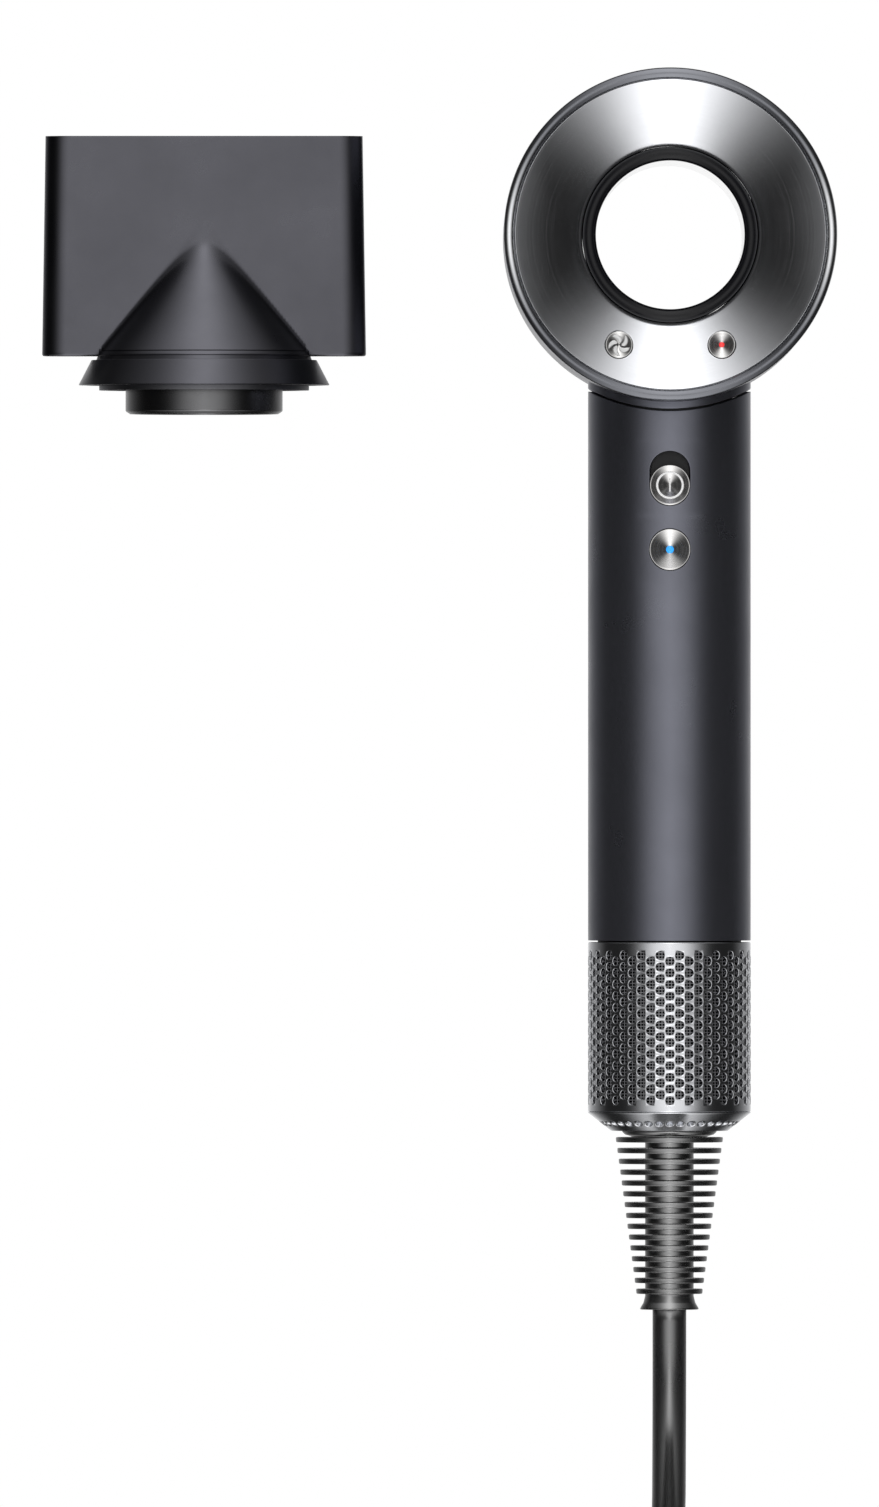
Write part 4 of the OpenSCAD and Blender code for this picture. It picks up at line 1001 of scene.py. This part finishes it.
# %% Strain relief
FINS, FIN_T, CORE_R, FIRST_FIN, LAST_FIN = 15, 1.2, 5.7, 12.6, 7.85
fin_pitch = (RELIEF_TOP - RELIEF_END - 6.4) / (FINS - 1)
fin_z = RELIEF_TOP - 2.1 - fin_pitch * np.arange(FINS)
fin_r = np.linspace(FIRST_FIN, LAST_FIN, FINS)
fin_corners = np.stack((
    np.stack((np.full(FINS, CORE_R), fin_z + FIN_T / 2), -1), np.stack((fin_r, fin_z + FIN_T / 2), -1),
    np.stack((fin_r - 0.1, fin_z - FIN_T / 2), -1),
    np.stack((np.full(FINS, CORE_R), fin_z - FIN_T / 2), -1)), 1).reshape(-1, 2)
fin_corners[0] = [8.4, fin_z[0] + FIN_T / 2]
relief_corners = np.vstack((
    [[4.05, RELIEF_TOP], [11.4, RELIEF_TOP], [10.4, RELIEF_TOP - 0.9]], fin_corners,
    [[CORE_R, RELIEF_END + 3.2], [6.1, RELIEF_END + 1.6], [7.05, RELIEF_END], [4.05, RELIEF_END]]))
relief_bends = np.full(len(relief_corners), 0.28)
relief_bends[-4:-2] = 1.2
relief = piece("relief_fins", turned(rounded(relief_corners, relief_bends, 3), 128), "handle",
               ("strain_relief",))
paint(finish_edges(relief), FINISHES["soft_rubber"])
relief.visible_glossy = False

# %% [markdown]
# ## Plug
#
# The plug hangs at the cord's end, in front of the hank. It's a moulded body that grows from round
# at the cord to a flattened oval, with two plated pins.

# %% Plug
PLUG_Y, PLUG_TOP, PLUG_FACE = -45.0, -322.0, -376.0
plug_rows = [
    (PLUG_TOP, 4.4, 4.4, 2), (PLUG_TOP - 0.2, 5.0, 5.0, 2), (PLUG_TOP - 3, 5.4, 5.4, 2),
    (PLUG_TOP - 9, 6.1, 6.1, 2),
    (PLUG_TOP - 14, 7.0, 7.0, 2), (PLUG_TOP - 18, 8.3, 7.9, 2.1), (PLUG_TOP - 22, 11.0, 9.6, 2.2),
    (PLUG_TOP - 26, 14.6, 11.6, 2.4), (PLUG_TOP - 30, 16.8, 12.7, 2.5), (PLUG_TOP - 35, 17.4, 13.0, 2.6),
    (PLUG_TOP - 45, 17.4, 13.0, 2.7), (PLUG_TOP - 52.6, 17.3, 12.9, 2.7), (PLUG_TOP - 53.4, 17.0, 12.6, 2.7),
    (PLUG_TOP - 53.85, 16.4, 12.0, 2.7), (PLUG_FACE, 15.6, 11.2, 2.7), (PLUG_FACE, 8.0, 6.0, 2.4)]
heights = -np.array(plug_rows)[:, 0]
fine = np.concatenate((np.linspace(heights[0], heights[-3], 60), heights[-2:] + [0, 1e-4]))
plug_depths = heights + np.arange(len(heights)) * 1e-5
plug_table = np.array(plug_rows)
plug_smooth = [(-h, *(np.interp(h, plug_depths, plug_table[:, k]) for k in (1, 2, 3))) for h in fine]
plug_smooth += [(PLUG_FACE, 8.0, 6.0, 2.4)]
plug = piece("plug_moulding", loft(plug_smooth, 96, (0, PLUG_Y)), "handle", ("plug_body",))
paint(finish_edges(plug), FINISHES["cord_rubber"])
CONTACT_R, CONTACT_END = 2.4, -395.0
pin_profile = rounded(
    [[0, PLUG_FACE + 2], [CONTACT_R, PLUG_FACE + 2], [CONTACT_R, CONTACT_END], [0, CONTACT_END]],
    [0, 0.1, 1.4, 0], 6)
pin_profile = np.vstack(([[0, PLUG_FACE + 2]], pin_profile[pin_profile[:, 0] > 0.01], [[0, -395.0]]))
left_pin, right_pin = (turned(pin_profile, 40, "Z", (side * 9.5, PLUG_Y, 0)) for side in (-1, 1))
pin_faces = left_pin[1] + [group + len(left_pin[0]) for group in right_pin[1]]
pins = piece("plug_contacts", (np.vstack((left_pin[0], right_pin[0])), pin_faces), "handle",
             ("plug_pins",))
paint(finish_edges(pins), FINISHES["pin_brass"])

# %% [markdown]
# ## Nozzle
#
# The loose nozzle squeezes the round outlet into a flat blade of air. Its body is a loft: at each
# height, the half thickness at a place across is the larger of the blade's own and the cone's,
# with a soft bend where they meet. A turned collar with a flaring flange sits under it, and a
# dark spigot plugs into the head.

# %% Nozzle
BLADE_LOW, BLADE_TOP, BLADE_T = 93.9, 145.6, 5.0
ROOT_HALF, TIP_HALF, SIDE_R = 38.05, 37.25, 5.6
NECK_R, CONE_FALL, CONE_SOFT = 25.35, 0.796, 1.1
FLANGE_TOP, FLANGE_LOW, FLANGE_R = 93.0, 87.1, 29.5
SPIGOT_R, SPIGOT_LOW = 18.45, 80.3

half_points = 150
u = np.linspace(0, np.pi, half_points)
shape_x = np.cos(u)
lift = [(BLADE_LOW, 4.9), (BLADE_LOW, 2.5), (BLADE_LOW, 0.7),
        (BLADE_LOW + 0.05, 0.3), (BLADE_LOW + 0.2, 0.1), (BLADE_LOW + 0.5, 0.0)]
lift += [(z, 0.0) for z in np.linspace(BLADE_LOW + 1.2, BLADE_TOP - 0.6, 78)] + [(BLADE_TOP, 0.0)]
lift_z, lift_in = np.array(lift).T
wide = np.interp(lift_z, [BLADE_LOW, BLADE_TOP], [ROOT_HALF, TIP_HALF])[:, None] - lift_in[:, None]
x = wide * shape_x[None]
from_side = np.clip(SIDE_R - (wide - np.abs(x)), 0, SIDE_R)
slab = (BLADE_T - lift_in[:, None]) * np.sqrt(np.clip(1 - (from_side / SIDE_R) ** 2, 0, 1))
cone_r = NECK_R - lift_in[:, None] - CONE_FALL * (lift_z - BLADE_LOW)[:, None]
cone = np.sqrt(np.clip(cone_r**2 - x**2, 0, None)) * (cone_r > 0)
thick = (slab + cone + np.sqrt((slab - cone) ** 2 + CONE_SOFT * np.minimum(slab, 1) * (cone > 0))) / 2
thick = np.maximum(thick, slab)
thick[:, [0, -1]] = 0
front_half = np.stack((x, -thick, np.broadcast_to(lift_z[:, None], x.shape)), -1)
back_half = np.stack((x, thick, np.broadcast_to(lift_z[:, None], x.shape)), -1)[:, ::-1][:, 1:-1]
nozzle_grid = np.concatenate((front_half, back_half), 1)
nozzle_points = nozzle_grid.reshape(-1, 3) + [NOZZLE_X, 0, 0]
nozzle_faces = [grid_faces(*nozzle_grid.shape[:2], wrap_cols=True)]
blade = piece("nozzle_blade", (nozzle_points, nozzle_faces), "nozzle", ("nozzle_shell",))
paint(finish_edges(blade, 1.3, 0.2), FINISHES["satin_nozzle"])

collar_profile = rounded(
    [[NECK_R - 0.6, BLADE_LOW + 0.6], [NECK_R, FLANGE_TOP], [26.45, FLANGE_TOP], [FLANGE_R, FLANGE_LOW],
     [FLANGE_R - 1.4, FLANGE_LOW],
     [24.4, 90.4], [24.0, BLADE_LOW + 0.6]], [0.05, 0.12, 0.2, 0.15, 0.2, 0.3, 0.05])
collar = piece("nozzle_collar", turned(collar_profile, 200, "Z", (NOZZLE_X, 0, 0)), "nozzle")
paint(finish_edges(collar), FINISHES["satin_nozzle"])
spigot_profile = rounded(
    [[0, 85.3], [15.4, 85.3], [16.9, SPIGOT_LOW], [17.4, SPIGOT_LOW], [SPIGOT_R, SPIGOT_LOW + 0.7],
     [SPIGOT_R, 88.0],
     [12, 99.0], [4, 107.0], [0, 107.6]], [0, 0.6, 0.1, 0.15, 0.5, 0.5, 3, 2, 0], 5)
spigot_profile = np.vstack(([[0, 85.3]], spigot_profile[spigot_profile[:, 0] > 0.01], [[0, 107.6]]))
core = piece("nozzle_spigot", turned(spigot_profile, 160, "Z", (NOZZLE_X, 0, 0)), "nozzle",
             ("nozzle_core",))
core_look = finish("satin dark core", (0.19, 0.19, 0.195), 1.0, 0.27, 0.0008)
paint(finish_edges(core), core_look)

# %% [markdown]
# ## Studio
#
# Polished metal shows its surroundings, so the light is painted into the world round the object:
# a broad white card behind the camera, a long strip of light overhead and under, white walls far
# behind, and dark flags at the two sides that draw the dark bands down the grip. The camera itself
# sees plain white, and a pale floor lies under the object.

# %% Studio
world = bpy.data.worlds.new("studio")
scene.world = world
world.use_nodes = True
sky = world.node_tree
sky.nodes.clear()
CARD_WIDE, CARD_TALL, STRIP_SPREAD = (math.radians(a) for a in (37, 28, 26.4))
BACK_START, STRIP_END, STRIP_GONE = (math.radians(a) for a in (100, 96, 118))
STRIP_LIGHT, SHADE, WALL_HEIGHT = 1.8, 0.015, (0.2, 0.6)
direction = add(sky, "SeparateXYZ", {0: add(sky, "TexCoord").outputs["Generated"]}).outputs
across, up = (maths(sky, "ABSOLUTE", direction[i]) for i in (0, 2))
towards = maths(sky, "MULTIPLY", direction[1], -1.0)
from_front = maths(sky, "ARCCOSINE", towards)
wide = maths(sky, "DIVIDE", maths(sky, "ARCTAN2", across, towards), CARD_WIDE)
tall = maths(sky, "DIVIDE", maths(sky, "ARCSINE", up), CARD_TALL)
card = maths(sky, "SQRT", maths(sky, "ADD", maths(sky, "POWER", wide, 2.0), maths(sky, "POWER", tall, 2.0)))
card = maths(sky, "EXPONENT", maths(sky, "MULTIPLY", maths(sky, "POWER", card, 3.0), -1.0))
roll = maths(sky, "POWER", maths(sky, "DIVIDE", maths(sky, "ARCTAN2", across, up), STRIP_SPREAD), 1.71)
strip = maths(sky, "MULTIPLY", maths(sky, "EXPONENT", maths(sky, "MULTIPLY", roll, -1.0)), STRIP_LIGHT)
strip = maths(sky, "MULTIPLY", strip, between(sky, from_front, 1.0, 0.0, STRIP_END, STRIP_GONE))
behind = maths(sky, "MAXIMUM", maths(sky, "SUBTRACT", from_front, BACK_START), 0.0)
back = maths(sky, "POWER", maths(sky, "DIVIDE", behind, math.pi - BACK_START), 1.6)
back = maths(sky, "MULTIPLY", back, between(sky, up, 1.0, 0.0, *WALL_HEIGHT))
light = maths(sky, "ADD", maths(sky, "MAXIMUM", maths(sky, "MAXIMUM", card, strip), back), SHADE)
seen = add(sky, "LightPath").outputs["Is Camera Ray"]
sky_paint = add(sky, "CombineColor", {0: light, 1: light, 2: light}).outputs[0]
shown = add(sky, "Mix", {0: seen, 6: sky_paint, 7: (1, 1, 1, 1)},
            data_type="RGBA")
lamp = add(sky, "Background", {"Color": shown.outputs[2], "Strength": 1.0})
sky.links.new(lamp.outputs[0], add(sky, "OutputWorld").inputs[0])
scene.view_settings.view_transform = "Standard"

FLOOR_Z = -430.0
reach = np.linspace(-6000, 6000, 9)
gx, gy = np.meshgrid(reach, reach, indexing="ij")
floor_points = np.stack((gx, gy, np.full_like(gx, FLOOR_Z)), -1).reshape(-1, 3)
floor = piece("floor", (floor_points, [grid_faces(9, 9)]), None, (), (0, 0, 1))
paint(floor, finish("pale floor", (0.88, 0.88, 0.88), 0.0, 0.8, glow=0.5))
floor.visible_glossy = False
print("studio ready")
